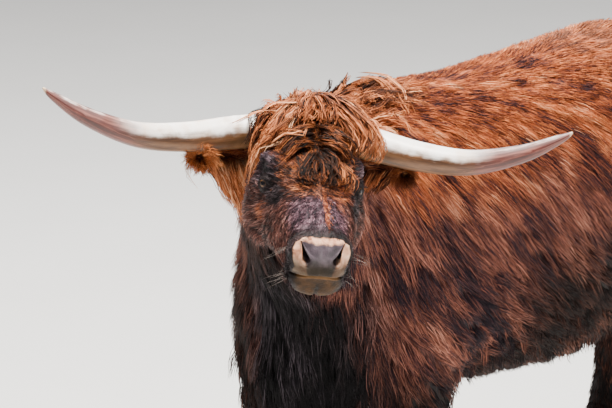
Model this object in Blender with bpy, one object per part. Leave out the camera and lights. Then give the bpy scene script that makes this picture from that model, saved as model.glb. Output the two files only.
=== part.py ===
"""A highland cow, life size, standing with its head turned to its left.

The cow faces -Y with its left side towards +X. Its flesh is modelled whole, out to the tips of the
coat, and parted with thin plane cuts. Horns, eyes, ears, claws and the forelock fit against it.
"""

import math

import bmesh
import bpy
from mathutils import Matrix, Vector

# Driving sizes, in metres.
BACK_HEIGHT = 1.15
HOOF_HEIGHT = 0.070
GAP = 0.0003
FORE_TRACK = 0.17
HIND_TRACK = 0.155
FORE_STEP = {"l": 0.03, "r": -0.055}
HIND_STEP = {"l": -0.04, "r": 0.05}

# The head's place: the middle of the skull behind the eyes, and the way the face points.
HEAD_PLACE = Vector((0.284, -0.495, 1.133))
HEAD_TURN = math.radians(44.7)
HEAD_DROP = math.radians(10.0)
HEAD_TILT = math.radians(6.2)

LEG_SQUARENESS = 2.2
CLAW_SQUARENESS = 2.3
HORN_REACH = {"l": 0.96, "r": 1.005}
HORN_SINK = {"l": 0.006, "r": 0.004}
EYE_RADIUS = 0.019
EYE_FACETS = (14, 8)
EYE_PLACE = Vector((0.082, -0.185, 0.022))

BODY_VOXEL = 0.013
HEAD_VOXEL = 0.006
BODY_TRIANGLES = 2450
HEAD_TRIANGLES = 1600

# Trunk stations: how far back, top, bottom, half width and squareness of the section.
TRUNK = (
    (-0.275, 0.80, 0.64, 0.03, 2.0),
    (-0.25, 0.88, 0.57, 0.08, 2.0),
    (-0.20, 0.985, 0.51, 0.135, 2.1),
    (-0.12, 1.085, 0.47, 0.195, 2.1),
    (-0.02, 1.145, 0.455, 0.245, 2.1),
    (0.10, BACK_HEIGHT, 0.45, 0.272, 2.1),
    (0.25, 1.138, 0.45, 0.297, 2.15),
    (0.45, 1.126, 0.435, 0.315, 2.2),
    (0.62, 1.130, 0.43, 0.315, 2.3),
    (0.76, 1.141, 0.46, 0.302, 2.2),
    (0.88, BACK_HEIGHT, 0.54, 0.288, 2.2),
    (1.00, BACK_HEIGHT, 0.60, 0.255, 2.2),
    (1.10, 1.125, 0.68, 0.20, 2.2),
    (1.18, 1.045, 0.78, 0.12, 2.1),
    (1.21, 0.96, 0.86, 0.05, 2.0),
)

# Head stations in the head's own frame: how far forward, top, bottom, half width, squareness.
SKULL = (
    (0.477, 0.010, -0.030, 0.022, 2.2),
    (0.468, 0.028, -0.062, 0.043, 2.4),
    (0.452, 0.040, -0.084, 0.055, 2.4),
    (0.42, 0.048, -0.094, 0.064, 2.4),
    (0.38, 0.053, -0.092, 0.069, 2.3),
    (0.33, 0.058, -0.094, 0.077, 2.3),
    (0.27, 0.065, -0.102, 0.089, 2.3),
    (0.21, 0.075, -0.117, 0.102, 2.4),
    (0.15, 0.088, -0.132, 0.112, 2.4),
    (0.09, 0.098, -0.138, 0.117, 2.4),
    (0.04, 0.104, -0.125, 0.110, 2.4),
    (-0.01, 0.102, -0.100, 0.097, 2.3),
    (-0.06, 0.080, -0.080, 0.078, 2.2),
    (-0.10, 0.040, -0.040, 0.040, 2.0),
)

# Legs from the top down: out, back, height, half depth, half width.
FORELEG = (
    (-0.03, 0.00, 0.86, 0.08, 0.05),
    (-0.015, 0.005, 0.78, 0.105, 0.070),
    (-0.005, 0.012, 0.68, 0.118, 0.078),
    (0.0, 0.015, 0.60, 0.118, 0.079),
    (0.0, 0.008, 0.52, 0.100, 0.074),
    (0.0, -0.003, 0.44, 0.079, 0.064),
    (0.0, -0.006, 0.36, 0.067, 0.058),
    (0.0, -0.008, 0.31, 0.062, 0.056),
    (0.0, -0.003, 0.25, 0.049, 0.046),
    (0.0, 0.000, 0.18, 0.046, 0.042),
    (0.0, -0.002, 0.13, 0.057, 0.052),
    (0.0, -0.020, 0.09, 0.057, 0.055),
    (0.0, -0.030, 0.05, 0.060, 0.058),
)
HINDLEG = (
    (-0.06, 0.95, 1.04, 0.12, 0.07),
    (-0.03, 0.96, 0.96, 0.20, 0.12),
    (0.00, 0.965, 0.84, 0.215, 0.135),
    (0.01, 0.955, 0.72, 0.205, 0.115),
    (0.005, 1.000, 0.61, 0.150, 0.090),
    (0.0, 1.060, 0.52, 0.100, 0.072),
    (0.0, 1.115, 0.45, 0.085, 0.060),
    (0.0, 1.130, 0.39, 0.067, 0.052),
    (0.0, 1.120, 0.29, 0.050, 0.046),
    (0.0, 1.110, 0.19, 0.048, 0.044),
    (0.0, 1.100, 0.13, 0.060, 0.053),
    (0.0, 1.078, 0.09, 0.058, 0.055),
    (0.0, 1.066, 0.05, 0.060, 0.058),
)

# Neck from its root in the chest to the back of the skull: place, half height, half width.
NECK = (
    ((0.0, 0.04, 0.86), 0.280, 0.19),
    ((0.012, -0.08, 0.885), 0.265, 0.180),
    ((0.055, -0.195, 0.945), 0.230, 0.150),
    ((0.125, -0.305, 1.015), 0.188, 0.125),
    ((0.205, -0.400, 1.080), 0.155, 0.110),
    ((0.272, -0.475, 1.122), 0.125, 0.098),
    ((0.310, -0.520, 1.130), 0.09, 0.08),
)

# Rounded masses melted into the trunk and the head: place, radii, lean. Each has its mirror twin
# unless it stands on the centre line.
TRUNK_MASSES = (
    ((0.120, 0.02, 0.86), (0.140, 0.170, 0.27), 0.25),
    ((0.095, -0.15, 0.72), (0.080, 0.085, 0.12), 0.0),
    ((0.19, 0.87, 1.00), (0.070, 0.12, 0.080), 0.0),
    ((0.0, -0.13, 0.58), (0.115, 0.155, 0.150), 0.0),
    ((0.0, 0.89, 0.535), (0.060, 0.11, 0.095), 0.0),
)
HEAD_MASSES = (
    ((0.072, -0.158, 0.058), (0.036, 0.055, 0.023), 0.0),
    ((0.078, -0.120, -0.055), (0.044, 0.095, 0.066), 0.25),
    ((0.040, -0.436, 0.000), (0.026, 0.034, 0.036), 0.0),
    ((0.060, -0.30, -0.020), (0.022, 0.090, 0.030), 0.0),
    ((0.078, 0.005, 0.055), (0.040, 0.040, 0.042), 0.0),
    ((0.0, -0.425, -0.074), (0.048, 0.040, 0.028), 0.0),
    ((0.0, -0.445, -0.020), (0.053, 0.030, 0.040), 0.0),
)
FORELOCK_MASSES = (
    ((0.0, -0.035, 0.095), (0.108, 0.085, 0.036), 0.0),
    ((0.0, 0.020, 0.086), (0.088, 0.060, 0.046), 0.0),
    ((0.068, -0.085, 0.090), (0.045, 0.055, 0.024), 0.3),
    ((0.108, -0.085, 0.055), (0.020, 0.055, 0.042), 0.5),
)
NOSTRIL = ((0.033, -0.468, 0.000), (0.010, 0.017, 0.014))

# Horn, in the head's frame: out, forward, up, radius.
HORN = (
    (0.082, -0.006, 0.057, 0.034),
    (0.140, 0.000, 0.052, 0.0335),
    (0.240, 0.035, 0.048, 0.030),
    (0.340, 0.072, 0.060, 0.0255),
    (0.440, 0.096, 0.098, 0.0185),
    (0.510, 0.104, 0.138, 0.0095),
    (0.536, 0.105, 0.156, 0.003),
)

# Ear from root to tip: out, forward, up, half height, half thickness. Its fringe hangs from it.
EAR = (
    (0.085, 0.000, 0.008, 0.020, 0.018),
    (0.110, -0.006, 0.004, 0.034, 0.022),
    (0.140, -0.014, -0.002, 0.043, 0.025),
    (0.175, -0.020, -0.008, 0.044, 0.026),
    (0.205, -0.022, -0.014, 0.037, 0.022),
    (0.230, -0.020, -0.018, 0.021, 0.014),
    (0.240, -0.018, -0.019, 0.010, 0.007),
)
EAR_FRINGE = (
    (0.146, -0.004, -0.015, 0.048, 0.016),
    (0.138, 0.004, -0.050, 0.041, 0.015),
    (0.126, 0.012, -0.088, 0.031, 0.012),
    (0.113, 0.019, -0.125, 0.021, 0.010),
    (0.100, 0.024, -0.155, 0.009, 0.005),
)
FRINGE_LENGTH = {"l": 0.45, "r": 1.0}

# Tail: place, half depth, half width.
TAIL = (
    ((0.0, 1.10, 1.085), 0.040, 0.036),
    ((0.0, 1.18, 1.080), 0.040, 0.036),
    ((0.0, 1.245, 1.020), 0.036, 0.034),
    ((0.0, 1.268, 0.920), 0.033, 0.032),
    ((0.0, 1.272, 0.780), 0.030, 0.030),
    ((0.0, 1.272, 0.640), 0.032, 0.030),
)
SWITCH = (
    ((0.0, 1.272, 0.6397), 0.034, 0.032),
    ((0.0, 1.272, 0.560), 0.050, 0.044),
    ((0.0, 1.270, 0.460), 0.058, 0.050),
    ((0.0, 1.268, 0.360), 0.050, 0.042),
    ((0.0, 1.266, 0.290), 0.030, 0.026),
    ((0.0, 1.265, 0.255), 0.010, 0.010),
)

# One claw: height, how far the toe and the heel reach, half width.
CLAW = (
    (0.0, 0.112, 0.016, 0.027),
    (0.012, 0.110, 0.018, 0.029),
    (0.040, 0.100, 0.022, 0.0285),
    (HOOF_HEIGHT - GAP, 0.083, 0.026, 0.026),
)
CLAW_SPREAD = 0.0305
DEWCLAW_PLACE = (0.024, 0.064, 0.112)
DEWCLAW_LEAN = 2.6
DEWCLAW_SIZE = (0.015, 0.007, 0.036)
HOOF_BACK = {"fore": -0.005, "hind": 1.092}

# Where the flesh is parted: heights and distances back, in the frame the tables use.
CHEST_BACK = 0.18
SHANK_BACK = 0.82
GROIN_HEIGHT = 0.60
KNEE_HEIGHT = 0.335
HOCK_HEIGHT = 0.49
BELLY_HEIGHT = 0.30
BRIDLE_FORWARD = 0.422

COAT_RED = (0.30, 0.095, 0.035)
COAT_DARK = (0.07, 0.025, 0.015)
COAT_BLACK = (0.02, 0.014, 0.012)
COAT_GINGER = (0.45, 0.18, 0.06)
SKIN_PEACH = (0.55, 0.36, 0.26)
HORN_IVORY = (0.72, 0.60, 0.46)
CLAW_GREY = (0.10, 0.075, 0.055)
EYE_BROWN = (0.03, 0.014, 0.008)


def clear_scene():
    for obj in list(bpy.data.objects):
        bpy.data.objects.remove(obj)


def finish_material(name, colour, roughness):
    material = bpy.data.materials.new(name)
    material.use_nodes = True
    shader = material.node_tree.nodes["Principled BSDF"]
    shader.inputs["Base Color"].default_value = (*colour, 1.0)
    shader.inputs["Roughness"].default_value = roughness
    shader.inputs["Metallic"].default_value = 0.0
    return material


def add_object(name, mesh):
    obj = bpy.data.objects.new(name, mesh)
    bpy.context.scene.collection.objects.link(obj)
    return obj


def mesh_of(name, bm):
    """Turns a bmesh into a mesh with its faces outwards."""
    bmesh.ops.recalc_face_normals(bm, faces=bm.faces)
    mesh = bpy.data.meshes.new(name)
    bm.to_mesh(mesh)
    bm.free()
    return mesh


def evaluated_mesh(obj):
    graph = bpy.context.evaluated_depsgraph_get()
    return bpy.data.meshes.new_from_object(obj.evaluated_get(graph))


def curve(p, q, r, s, t):
    """A Catmull-Rom curve from q to r, a share t of the way along."""
    bend = 2 * p - 5 * q + 4 * r - s
    twist = 3 * q - p - 3 * r + s
    return 0.5 * (2 * q + (r - p) * t + bend * t**2 + twist * t**3)


def between(rows, steps):
    """Fills a table of stations with smooth ones between them."""
    filled = []
    for i in range(len(rows) - 1):
        before, a, b, after = (rows[max(0, i - 1)], rows[i], rows[i + 1], rows[min(len(rows) - 1, i + 2)])
        for k in range(steps):
            t = k / steps
            filled.append(
                tuple(curve(*values, t) for values in zip(before, a, b, after))
            )
    filled.append(tuple(rows[-1]))
    return filled


def add_loft(bm, sections, sides=24):
    """Bridges rings into a closed tube. A section is its frame, half width, half height, squareness."""
    rings = []
    for frame, half_width, half_height, squareness in sections:
        circle = bmesh.ops.create_circle(bm, cap_ends=False, radius=1.0, segments=sides)["verts"]
        for vert in circle:
            across = math.copysign(abs(vert.co.x) ** (2 / squareness), vert.co.x)
            upward = math.copysign(abs(vert.co.y) ** (2 / squareness), vert.co.y)
            vert.co = frame @ Vector((across * half_width, 0.0, upward * half_height))
        rings.append(list({edge for vert in circle for edge in vert.link_edges}))
    for first, second in zip(rings, rings[1:]):
        bmesh.ops.bridge_loops(bm, edges=first + second)
    for end in (rings[0], rings[-1]):
        bmesh.ops.contextual_create(bm, geom=end)


def along_axis(table, to_world, forward):
    """Sections for a table whose stations lie along one straight axis."""
    sections = []
    for place, top, bottom, half_width, squareness in between(table, 2):
        middle = 0.5 * (top + bottom)
        frame = to_world @ Matrix.Translation((0.0, forward * place, middle))
        sections.append((frame, half_width, 0.5 * (top - bottom), squareness))
    return sections


def along_path(points, radii, side=Vector((1.0, 0.0, 0.0))):
    """Sections square to a curved path. Each of the radii is a half width and a half height."""
    sections = []
    for i, point in enumerate(points):
        run = (points[min(i + 1, len(points) - 1)] - points[max(i - 1, 0)]).normalized()
        upward = side.cross(run).normalized()
        across = run.cross(upward).normalized()
        frame = Matrix((across, run, upward)).transposed().to_4x4()
        frame.translation = point
        half_width, half_height = radii[i]
        sections.append((frame, half_width, half_height, 2.0))
    return sections


def add_ball(bm, place, radii, to_world=Matrix.Identity(4), lean=0.0, segments=20, rings=12):
    """An ellipsoid, leaning about its own X axis."""
    leaning = to_world @ Matrix.Translation(place) @ Matrix.Rotation(lean, 4, "X")
    shape = leaning @ Matrix.Diagonal((*radii, 1.0))
    bmesh.ops.create_uvsphere(bm, u_segments=segments, v_segments=rings, radius=1.0, matrix=shape)


def head_frame():
    turn = Matrix.Rotation(HEAD_TURN, 4, "Z")
    drop = Matrix.Rotation(HEAD_DROP, 4, "X")
    tilt = Matrix.Rotation(HEAD_TILT, 4, "Y")
    return Matrix.Translation(HEAD_PLACE) @ turn @ drop @ tilt


def head_point(head, out, forward, up):
    return head @ Vector((out, -forward, up))


def add_masses(bm, masses, to_world):
    for (out, back, up), radii, lean in masses:
        for side in (-1, 1) if out else (1,):
            add_ball(bm, (side * out, back, up), radii, to_world, lean)


def add_trunk(bm):
    add_loft(bm, along_axis(TRUNK, Matrix.Identity(4), 1.0), 32)
    add_masses(bm, TRUNK_MASSES, Matrix.Identity(4))


def add_leg(bm, table, side, track, step):
    sections = []
    for out, back, height, half_depth, half_width in between(table, 2):
        place = Matrix.Translation((side * (track + out), back + step, height))
        level = place @ Matrix.Rotation(math.pi / 2, 4, "X")
        sections.append((level, half_width, half_depth, LEG_SQUARENESS))
    add_loft(bm, sections, 20)


def add_neck(bm):
    rows = between([(*place, high, wide) for place, high, wide in NECK], 2)
    points = [Vector(row[:3]) for row in rows]
    radii = [(row[4], row[3]) for row in rows]
    run = (points[-1] - points[0]).normalized()
    add_loft(bm, along_path(points, radii, run.cross(Vector((0.0, 0.0, 1.0))).normalized()), 28)


def add_head(bm, head):
    add_loft(bm, along_axis(SKULL, head, -1.0), 32)
    add_masses(bm, HEAD_MASSES, head)


def smoothed(name, fill, voxel, triangles):
    """Melts overlapping closed shapes into one skin and thins it to a number of triangles."""
    bm = bmesh.new()
    fill(bm)
    rough = add_object(name, mesh_of(name, bm))
    melt = rough.modifiers.new("Melt", "REMESH")
    melt.mode = "VOXEL"
    melt.voxel_size = voxel
    soften = rough.modifiers.new("Soften", "SMOOTH")
    soften.factor = 0.5
    soften.iterations = 8
    whole = evaluated_mesh(rough)
    rough.modifiers.clear()
    rough.data = whole
    thin = rough.modifiers.new("Thin", "DECIMATE")
    thin.ratio = triangles / (2 * len(whole.polygons))
    mesh = evaluated_mesh(rough)
    bpy.data.objects.remove(rough)
    return mesh


def cut(mesh, planes):
    """Keeps what lies on the far side of every plane, closing each cut. A plane is a point and a normal."""
    bm = bmesh.new()
    bm.from_mesh(mesh)
    for point, normal in planes:
        kept = normal.normalized()
        bmesh.ops.bisect_plane(
            bm,
            geom=bm.verts[:] + bm.edges[:] + bm.faces[:],
            dist=1e-6,
            plane_co=point + kept * GAP / 2,
            plane_no=kept,
            clear_inner=True,
        )
        rim = [edge for edge in bm.edges if edge.is_boundary]
        bmesh.ops.holes_fill(bm, edges=rim, sides=0)
    bmesh.ops.triangulate(bm, faces=bm.faces)
    return mesh_of(mesh.name, bm)


def grown(mesh, distance):
    """A copy of a mesh with its surface moved outwards."""
    bm = bmesh.new()
    bm.from_mesh(mesh)
    bm.normal_update()
    for vert in bm.verts:
        vert.co += vert.normal * distance
    copy = bpy.data.meshes.new(mesh.name + "_grown")
    bm.to_mesh(copy)
    bm.free()
    return copy


def carve(obj, meshes):
    """Takes shapes away from an object with Booleans, and applies them."""
    cutters = []
    for mesh in meshes:
        cutter = add_object(obj.name + "_cutter", mesh)
        cutter.hide_render = True
        cutter.display_type = "WIRE"
        boolean = obj.modifiers.new("Carve", "BOOLEAN")
        boolean.operation = "DIFFERENCE"
        boolean.solver = "EXACT"
        boolean.object = cutter
        cutters.append(cutter)
    result = evaluated_mesh(obj)
    obj.modifiers.clear()
    obj.data = result
    for cutter in cutters:
        bpy.data.objects.remove(cutter)


def add_node(name, mesh, material):
    mesh.materials.clear()
    mesh.materials.append(material)
    obj = add_object(name, mesh)
    mesh.shade_smooth()
    mesh.set_sharp_from_angle(angle=math.radians(40))
    return obj


def plane(point, normal):
    return Vector(point), Vector(normal)


def flipped(cut_plane):
    return cut_plane[0], -cut_plane[1]


def body_planes(head):
    """The thin cuts between the parts of the body, each with its normal towards the kept side."""
    planes = {
        "face": plane(head_point(head, 0.0, -0.05, 0.0), head.to_3x3() @ Vector((0.0, -1.0, 0.0))),
        "neck": plane((0.0, -0.03, BACK_HEIGHT), (0.0, -0.887, 0.462)),
        "chest": plane((0.0, CHEST_BACK, 0.0), (0.0, 1.0, 0.0)),
        "loin": plane((0.0, 0.66, BACK_HEIGHT), (0.0, 0.73, 0.21)),
        "groin": plane((0.0, 0.0, GROIN_HEIGHT), (0.0, 0.0, 1.0)),
        "knee": plane((0.0, 0.0, KNEE_HEIGHT), (0.0, 0.0, 1.0)),
        "hock": plane((0.0, 0.0, HOCK_HEIGHT), (0.0, 0.0, 1.0)),
        "belly": plane((0.0, 0.0, BELLY_HEIGHT), (0.0, 0.0, 1.0)),
        "shank": plane((0.0, SHANK_BACK, 0.0), (0.0, 1.0, 0.0)),
        "coronet": plane((0.0, 0.0, HOOF_HEIGHT), (0.0, 0.0, 1.0)),
        "mouth": plane(head_point(head, 0.0, 0.465, -0.042), head.to_3x3() @ Vector((0.0, 0.07, 1.0))),
        "bridle": plane(head_point(head, 0.0, BRIDLE_FORWARD, 0.0), head.to_3x3() @ Vector((0.0, -1.0, 0.0))),
    }
    for side, letter in ((1, "l"), (-1, "r")):
        planes["armpit_" + letter] = plane((side * 0.075, 0.0, 0.42), (-side * 1.4, 0.0, 1.0))
        planes["haunch_" + letter] = plane((side * 0.062, 0.0, GROIN_HEIGHT), (-side * 1.4, 0.0, 1.0))
        planes["between_" + letter] = plane((side * 0.062, 0.0, 0.0), (side, 0.0, 0.0))
        planes["centre_" + letter] = plane((side * 0.02, 0.0, 0.0), (side, 0.0, 0.0))
    return planes


def build_body(body, planes, materials):
    behind_head = flipped(planes["face"])
    trunk_side = [flipped(planes["neck"]), planes["armpit_l"], planes["armpit_r"]]
    add_node("neck", cut(body, [behind_head, planes["neck"]]), materials["red"])
    add_node("shoulders", cut(body, trunk_side + [flipped(planes["chest"])]), materials["red"])
    barrel = [planes["chest"], flipped(planes["loin"]), planes["belly"]]
    add_node("barrel", cut(body, barrel), materials["red"])
    rump = [planes["loin"], planes["groin"], planes["haunch_l"], planes["haunch_r"]]
    add_node("rump", cut(body, rump), materials["red"])
    udder = [planes["loin"], flipped(planes["groin"])]
    udder += [flipped(planes["between_l"]), flipped(planes["between_r"])]
    add_node("udder", cut(body, udder), materials["peach"])
    for letter in ("l", "r"):
        fore = [flipped(planes["neck"]), flipped(planes["chest"]), flipped(planes["armpit_" + letter])]
        fore += [planes["centre_" + letter]]
        thigh = [planes["loin"], flipped(planes["haunch_" + letter]), planes["between_" + letter]]
        shank = [planes["shank"], planes["between_" + letter]]
        for name, above, below, joint in (
            ("fore", fore, fore, planes["knee"]),
            ("hind", thigh, shank, planes["hock"]),
        ):
            upper = cut(body, above + [joint])
            lower = cut(body, below + [flipped(joint), planes["coronet"]])
            add_node(f"{name}leg_upper_{letter}", upper, materials["dark"])
            add_node(f"{name}leg_lower_{letter}", lower, materials["dark"])


def build_head(skull, head, planes, materials):
    """The skull with its eye sockets and nostrils, parted into head, muzzle and lower jaw."""
    whole = add_object("skull", cut(skull, [planes["face"]]))
    hollows = bmesh.new()
    for side in (-1, 1):
        eye = EYE_PLACE * Vector((side, 1.0, 1.0))
        add_ball(hollows, eye, [EYE_RADIUS + GAP] * 3, head, 0.0, *EYE_FACETS)
        nostril = Vector(NOSTRIL[0]) * Vector((side, 1.0, 1.0))
        add_ball(hollows, nostril, NOSTRIL[1], head, 0.0, 10, 6)
    carve(whole, [mesh_of("hollows", hollows)])
    face = whole.data
    bpy.data.objects.remove(whole)
    above = [planes["mouth"]]
    add_node("head", cut(face, above + [flipped(planes["bridle"])]), materials["black"])
    add_node("muzzle", cut(face, above + [planes["bridle"]]), materials["peach"])
    add_node("lower_jaw", cut(face, [flipped(planes["mouth"])]), materials["black"])
    for side, letter in ((1, "l"), (-1, "r")):
        ball = bmesh.new()
        add_ball(ball, EYE_PLACE * Vector((side, 1.0, 1.0)), [EYE_RADIUS] * 3, head, 0.0, *EYE_FACETS)
        add_node("eye_" + letter, mesh_of("eye", ball), materials["eye"])
    return face


def build_horn(side, letter, head, face, material):
    rows = between(HORN, 2)
    reach = HORN_REACH[letter]
    sink = HORN_SINK[letter]
    points = [head_point(head, side * out * reach, forward, up - sink) for out, forward, up, radius in rows]
    radii = [(row[3], row[3]) for row in rows]
    bm = bmesh.new()
    add_loft(bm, along_path(points, radii, head.to_3x3() @ Vector((0.0, 1.0, 0.0))), 10)
    horn = add_node("horn_" + letter, mesh_of("horn", bm), material)
    carve(horn, [grown(face, GAP)])
    return horn


def build_ear(side, letter, head, neighbours, material):
    """A leaf of gristle and fur with the long fringe that hangs from it."""

    def fill(bm):
        rows = between(EAR, 2)
        points = [head_point(head, side * out, forward, up) for out, forward, up, high, thick in rows]
        radii = [(row[4], row[3]) for row in rows]
        add_loft(bm, along_path(points, radii, head.to_3x3() @ Vector((0.0, 1.0, 0.0))), 14)
        rows = between(EAR_FRINGE, 2)
        root = rows[0][0]
        length = FRINGE_LENGTH[letter]
        points = [
            head_point(head, side * (root + (out - root) * length), forward, up * length)
            for out, forward, up, wide, thick in rows
        ]
        radii = [(row[3], row[4]) for row in rows]
        add_loft(bm, along_path(points, radii, head.to_3x3() @ Vector((1.0, 0.0, 0.0))), 14)

    ear = add_node("ear_" + letter, smoothed("ear_" + letter, fill, 0.006, 150), material)
    carve(ear, [grown(mesh, GAP) for mesh in neighbours])
    return ear


def build_forelock(head, neighbours, material):
    """The cap of long hair between the horns, with a lock down each temple."""

    def fill(bm):
        add_masses(bm, FORELOCK_MASSES, head)

    forelock = add_node("forelock", smoothed("forelock", fill, 0.009, 200), material)
    carve(forelock, [grown(mesh, GAP) for mesh in neighbours])
    return forelock


def build_claws(name, place, side, leg, material):
    """Two claws side by side with a small dewclaw behind each."""
    for half, label in ((side, "outer"), (-side, "inner")):
        bm = bmesh.new()
        sections = []
        for height, toe, heel, half_width in CLAW:
            middle = Vector((half * CLAW_SPREAD, (heel - toe) / 2, height)) + place
            frame = Matrix.Translation(middle) @ Matrix.Rotation(math.pi / 2, 4, "X")
            sections.append((frame, half_width, (toe + heel) / 2, CLAW_SQUARENESS))
        add_loft(bm, sections, 12)
        add_node(f"claw_{name}_{label}", mesh_of("claw", bm), material)
        bm = bmesh.new()
        out, back, height = DEWCLAW_PLACE
        spur = Matrix.Translation(place + Vector((half * out, back, height)))
        spur = spur @ Matrix.Rotation(DEWCLAW_LEAN, 4, "X")
        wide, narrow, long = DEWCLAW_SIZE
        bmesh.ops.create_cone(
            bm, cap_ends=True, segments=8, radius1=wide, radius2=narrow, depth=long, matrix=spur
        )
        dewclaw = add_node(f"dewclaw_{name}_{label}", mesh_of("dewclaw", bm), material)
        carve(dewclaw, [grown(leg, GAP)])


def build_tail(rump, materials):
    for name, table, material in (("tail_dock", TAIL, "red"), ("tail_switch", SWITCH, "ginger")):
        rows = [(*place, deep, wide) for place, deep, wide in table]
        points = [Vector(row[:3]) for row in rows]
        radii = [(row[4], row[3]) for row in rows]
        bm = bmesh.new()
        add_loft(bm, along_path(points, radii), 12)
        tail = add_node(name, mesh_of(name, bm), materials[material])
        if name == "tail_dock":
            carve(tail, [grown(rump, GAP)])


def centre_on_floor():
    """Hangs every part from one empty, moved so that the whole stands over the origin."""
    bpy.context.view_layer.update()
    corners = [
        obj.matrix_world @ vert.co
        for obj in bpy.context.scene.objects
        if obj.type == "MESH"
        for vert in obj.data.vertices
    ]
    low = [min(corner[i] for corner in corners) for i in range(3)]
    high = [max(corner[i] for corner in corners) for i in range(3)]
    stand = bpy.data.objects.new("highland_cow", None)
    bpy.context.scene.collection.objects.link(stand)
    for obj in bpy.context.scene.objects:
        if obj.type == "MESH":
            obj.parent = stand
    stand.location = (-(low[0] + high[0]) / 2, -(low[1] + high[1]) / 2, -low[2])


def main():
    clear_scene()
    materials = {
        "red": finish_material("red coat", COAT_RED, 0.75),
        "dark": finish_material("dark coat", COAT_DARK, 0.75),
        "black": finish_material("black coat", COAT_BLACK, 0.7),
        "ginger": finish_material("ginger hair", COAT_GINGER, 0.65),
        "peach": finish_material("bare skin", SKIN_PEACH, 0.5),
        "horn": finish_material("horn", HORN_IVORY, 0.4),
        "claw": finish_material("claw", CLAW_GREY, 0.5),
        "eye": finish_material("eye", EYE_BROWN, 0.05),
    }
    head = head_frame()
    planes = body_planes(head)

    def fill_body(bm):
        add_trunk(bm)
        add_neck(bm)
        add_loft(bm, along_axis(SKULL, head, -1.0), 32)
        for side, letter in ((1, "l"), (-1, "r")):
            add_leg(bm, FORELEG, side, FORE_TRACK, FORE_STEP[letter])
            add_leg(bm, HINDLEG, side, HIND_TRACK, HIND_STEP[letter])

    def fill_head(bm):
        add_neck(bm)
        add_head(bm, head)

    build_body(smoothed("body", fill_body, BODY_VOXEL, BODY_TRIANGLES), planes, materials)
    face = build_head(smoothed("skull", fill_head, HEAD_VOXEL, HEAD_TRIANGLES), head, planes, materials)
    parts = bpy.data.objects
    horns = []
    for side, letter in ((1, "l"), (-1, "r")):
        horn = build_horn(side, letter, head, face, materials["horn"])
        horns.append(horn.data)
        build_ear(side, letter, head, [face, parts["neck"].data, horn.data], materials["dark"])
    ears = [parts["ear_l"].data, parts["ear_r"].data]
    build_forelock(head, [face, parts["neck"].data] + horns + ears, materials["ginger"])
    for side, letter in ((1, "l"), (-1, "r")):
        for name, track, back in (
            ("fore", FORE_TRACK, FORE_STEP[letter] + HOOF_BACK["fore"]),
            ("hind", HIND_TRACK, HIND_STEP[letter] + HOOF_BACK["hind"]),
        ):
            leg = parts[f"{name}leg_lower_{letter}"].data
            build_claws(f"{name}_{letter}", Vector((side * track, back, 0.0)), side, leg, materials["claw"])
    build_tail(parts["rump"].data, materials)
    centre_on_floor()


main()
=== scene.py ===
import math

import bmesh
import bpy
import numpy as np
from mathutils import Matrix, Vector
from mathutils.bvhtree import BVHTree


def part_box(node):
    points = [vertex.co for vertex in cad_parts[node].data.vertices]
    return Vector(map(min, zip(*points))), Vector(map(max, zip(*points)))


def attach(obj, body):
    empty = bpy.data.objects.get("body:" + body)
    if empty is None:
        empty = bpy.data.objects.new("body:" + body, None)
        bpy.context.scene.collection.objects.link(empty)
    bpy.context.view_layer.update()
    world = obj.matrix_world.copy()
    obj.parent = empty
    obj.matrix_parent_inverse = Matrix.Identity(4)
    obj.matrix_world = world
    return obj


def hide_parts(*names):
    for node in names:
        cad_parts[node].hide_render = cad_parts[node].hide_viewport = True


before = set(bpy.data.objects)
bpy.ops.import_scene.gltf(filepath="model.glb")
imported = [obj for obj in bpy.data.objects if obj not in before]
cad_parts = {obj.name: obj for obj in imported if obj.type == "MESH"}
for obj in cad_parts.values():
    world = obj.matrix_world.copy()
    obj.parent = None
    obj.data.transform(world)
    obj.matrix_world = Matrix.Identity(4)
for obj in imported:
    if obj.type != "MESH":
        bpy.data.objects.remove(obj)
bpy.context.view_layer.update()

# The head's turn, drop and tilt, and where the eyes lie in it. Head places are (out to the cow's
# left, forward along the face, up); body places are metres from the withers' foot, as the solids'.
HEAD_TURN = math.radians(44.7)
HEAD_DROP = math.radians(10.0)
HEAD_TILT = math.radians(6.2)
HEAD_IN_BODY = Vector((0.284, -0.495, 1.133))
EYE_OUT, EYE_FORWARD, EYE_UP = 0.082, 0.185, 0.022
EYE_RADIUS = 0.019
HEAD_SPIN = Matrix.Rotation(HEAD_TURN, 3, "Z") @ Matrix.Rotation(HEAD_DROP, 3, "X")
HEAD_SPIN = HEAD_SPIN @ Matrix.Rotation(HEAD_TILT, 3, "Y")
EYE_MIDDLE = sum((corner for side in "lr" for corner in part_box("eye_" + side)), Vector()) / 4
HEAD_PLACE = EYE_MIDDLE - HEAD_SPIN @ Vector((0.0, -EYE_FORWARD, EYE_UP))
BODY_PLACE = HEAD_PLACE - HEAD_IN_BODY

# The camera: where it stands round the cow, how high it looks from, and where it aims by the head.
CAMERA_ROUND = math.radians(40.0)
CAMERA_HIGH = math.radians(14.0)
CAMERA_AWAY = 9.0
CAMERA_LENS = 264.7
AIM_RIGHT, AIM_UP = 0.0076, -0.0881

SKIN_VOXEL = 0.013
# Up to here the legs' skin keeps close to their solids, so that the dewclaws sit on it.
PASTERN_TOP = 0.24
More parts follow.
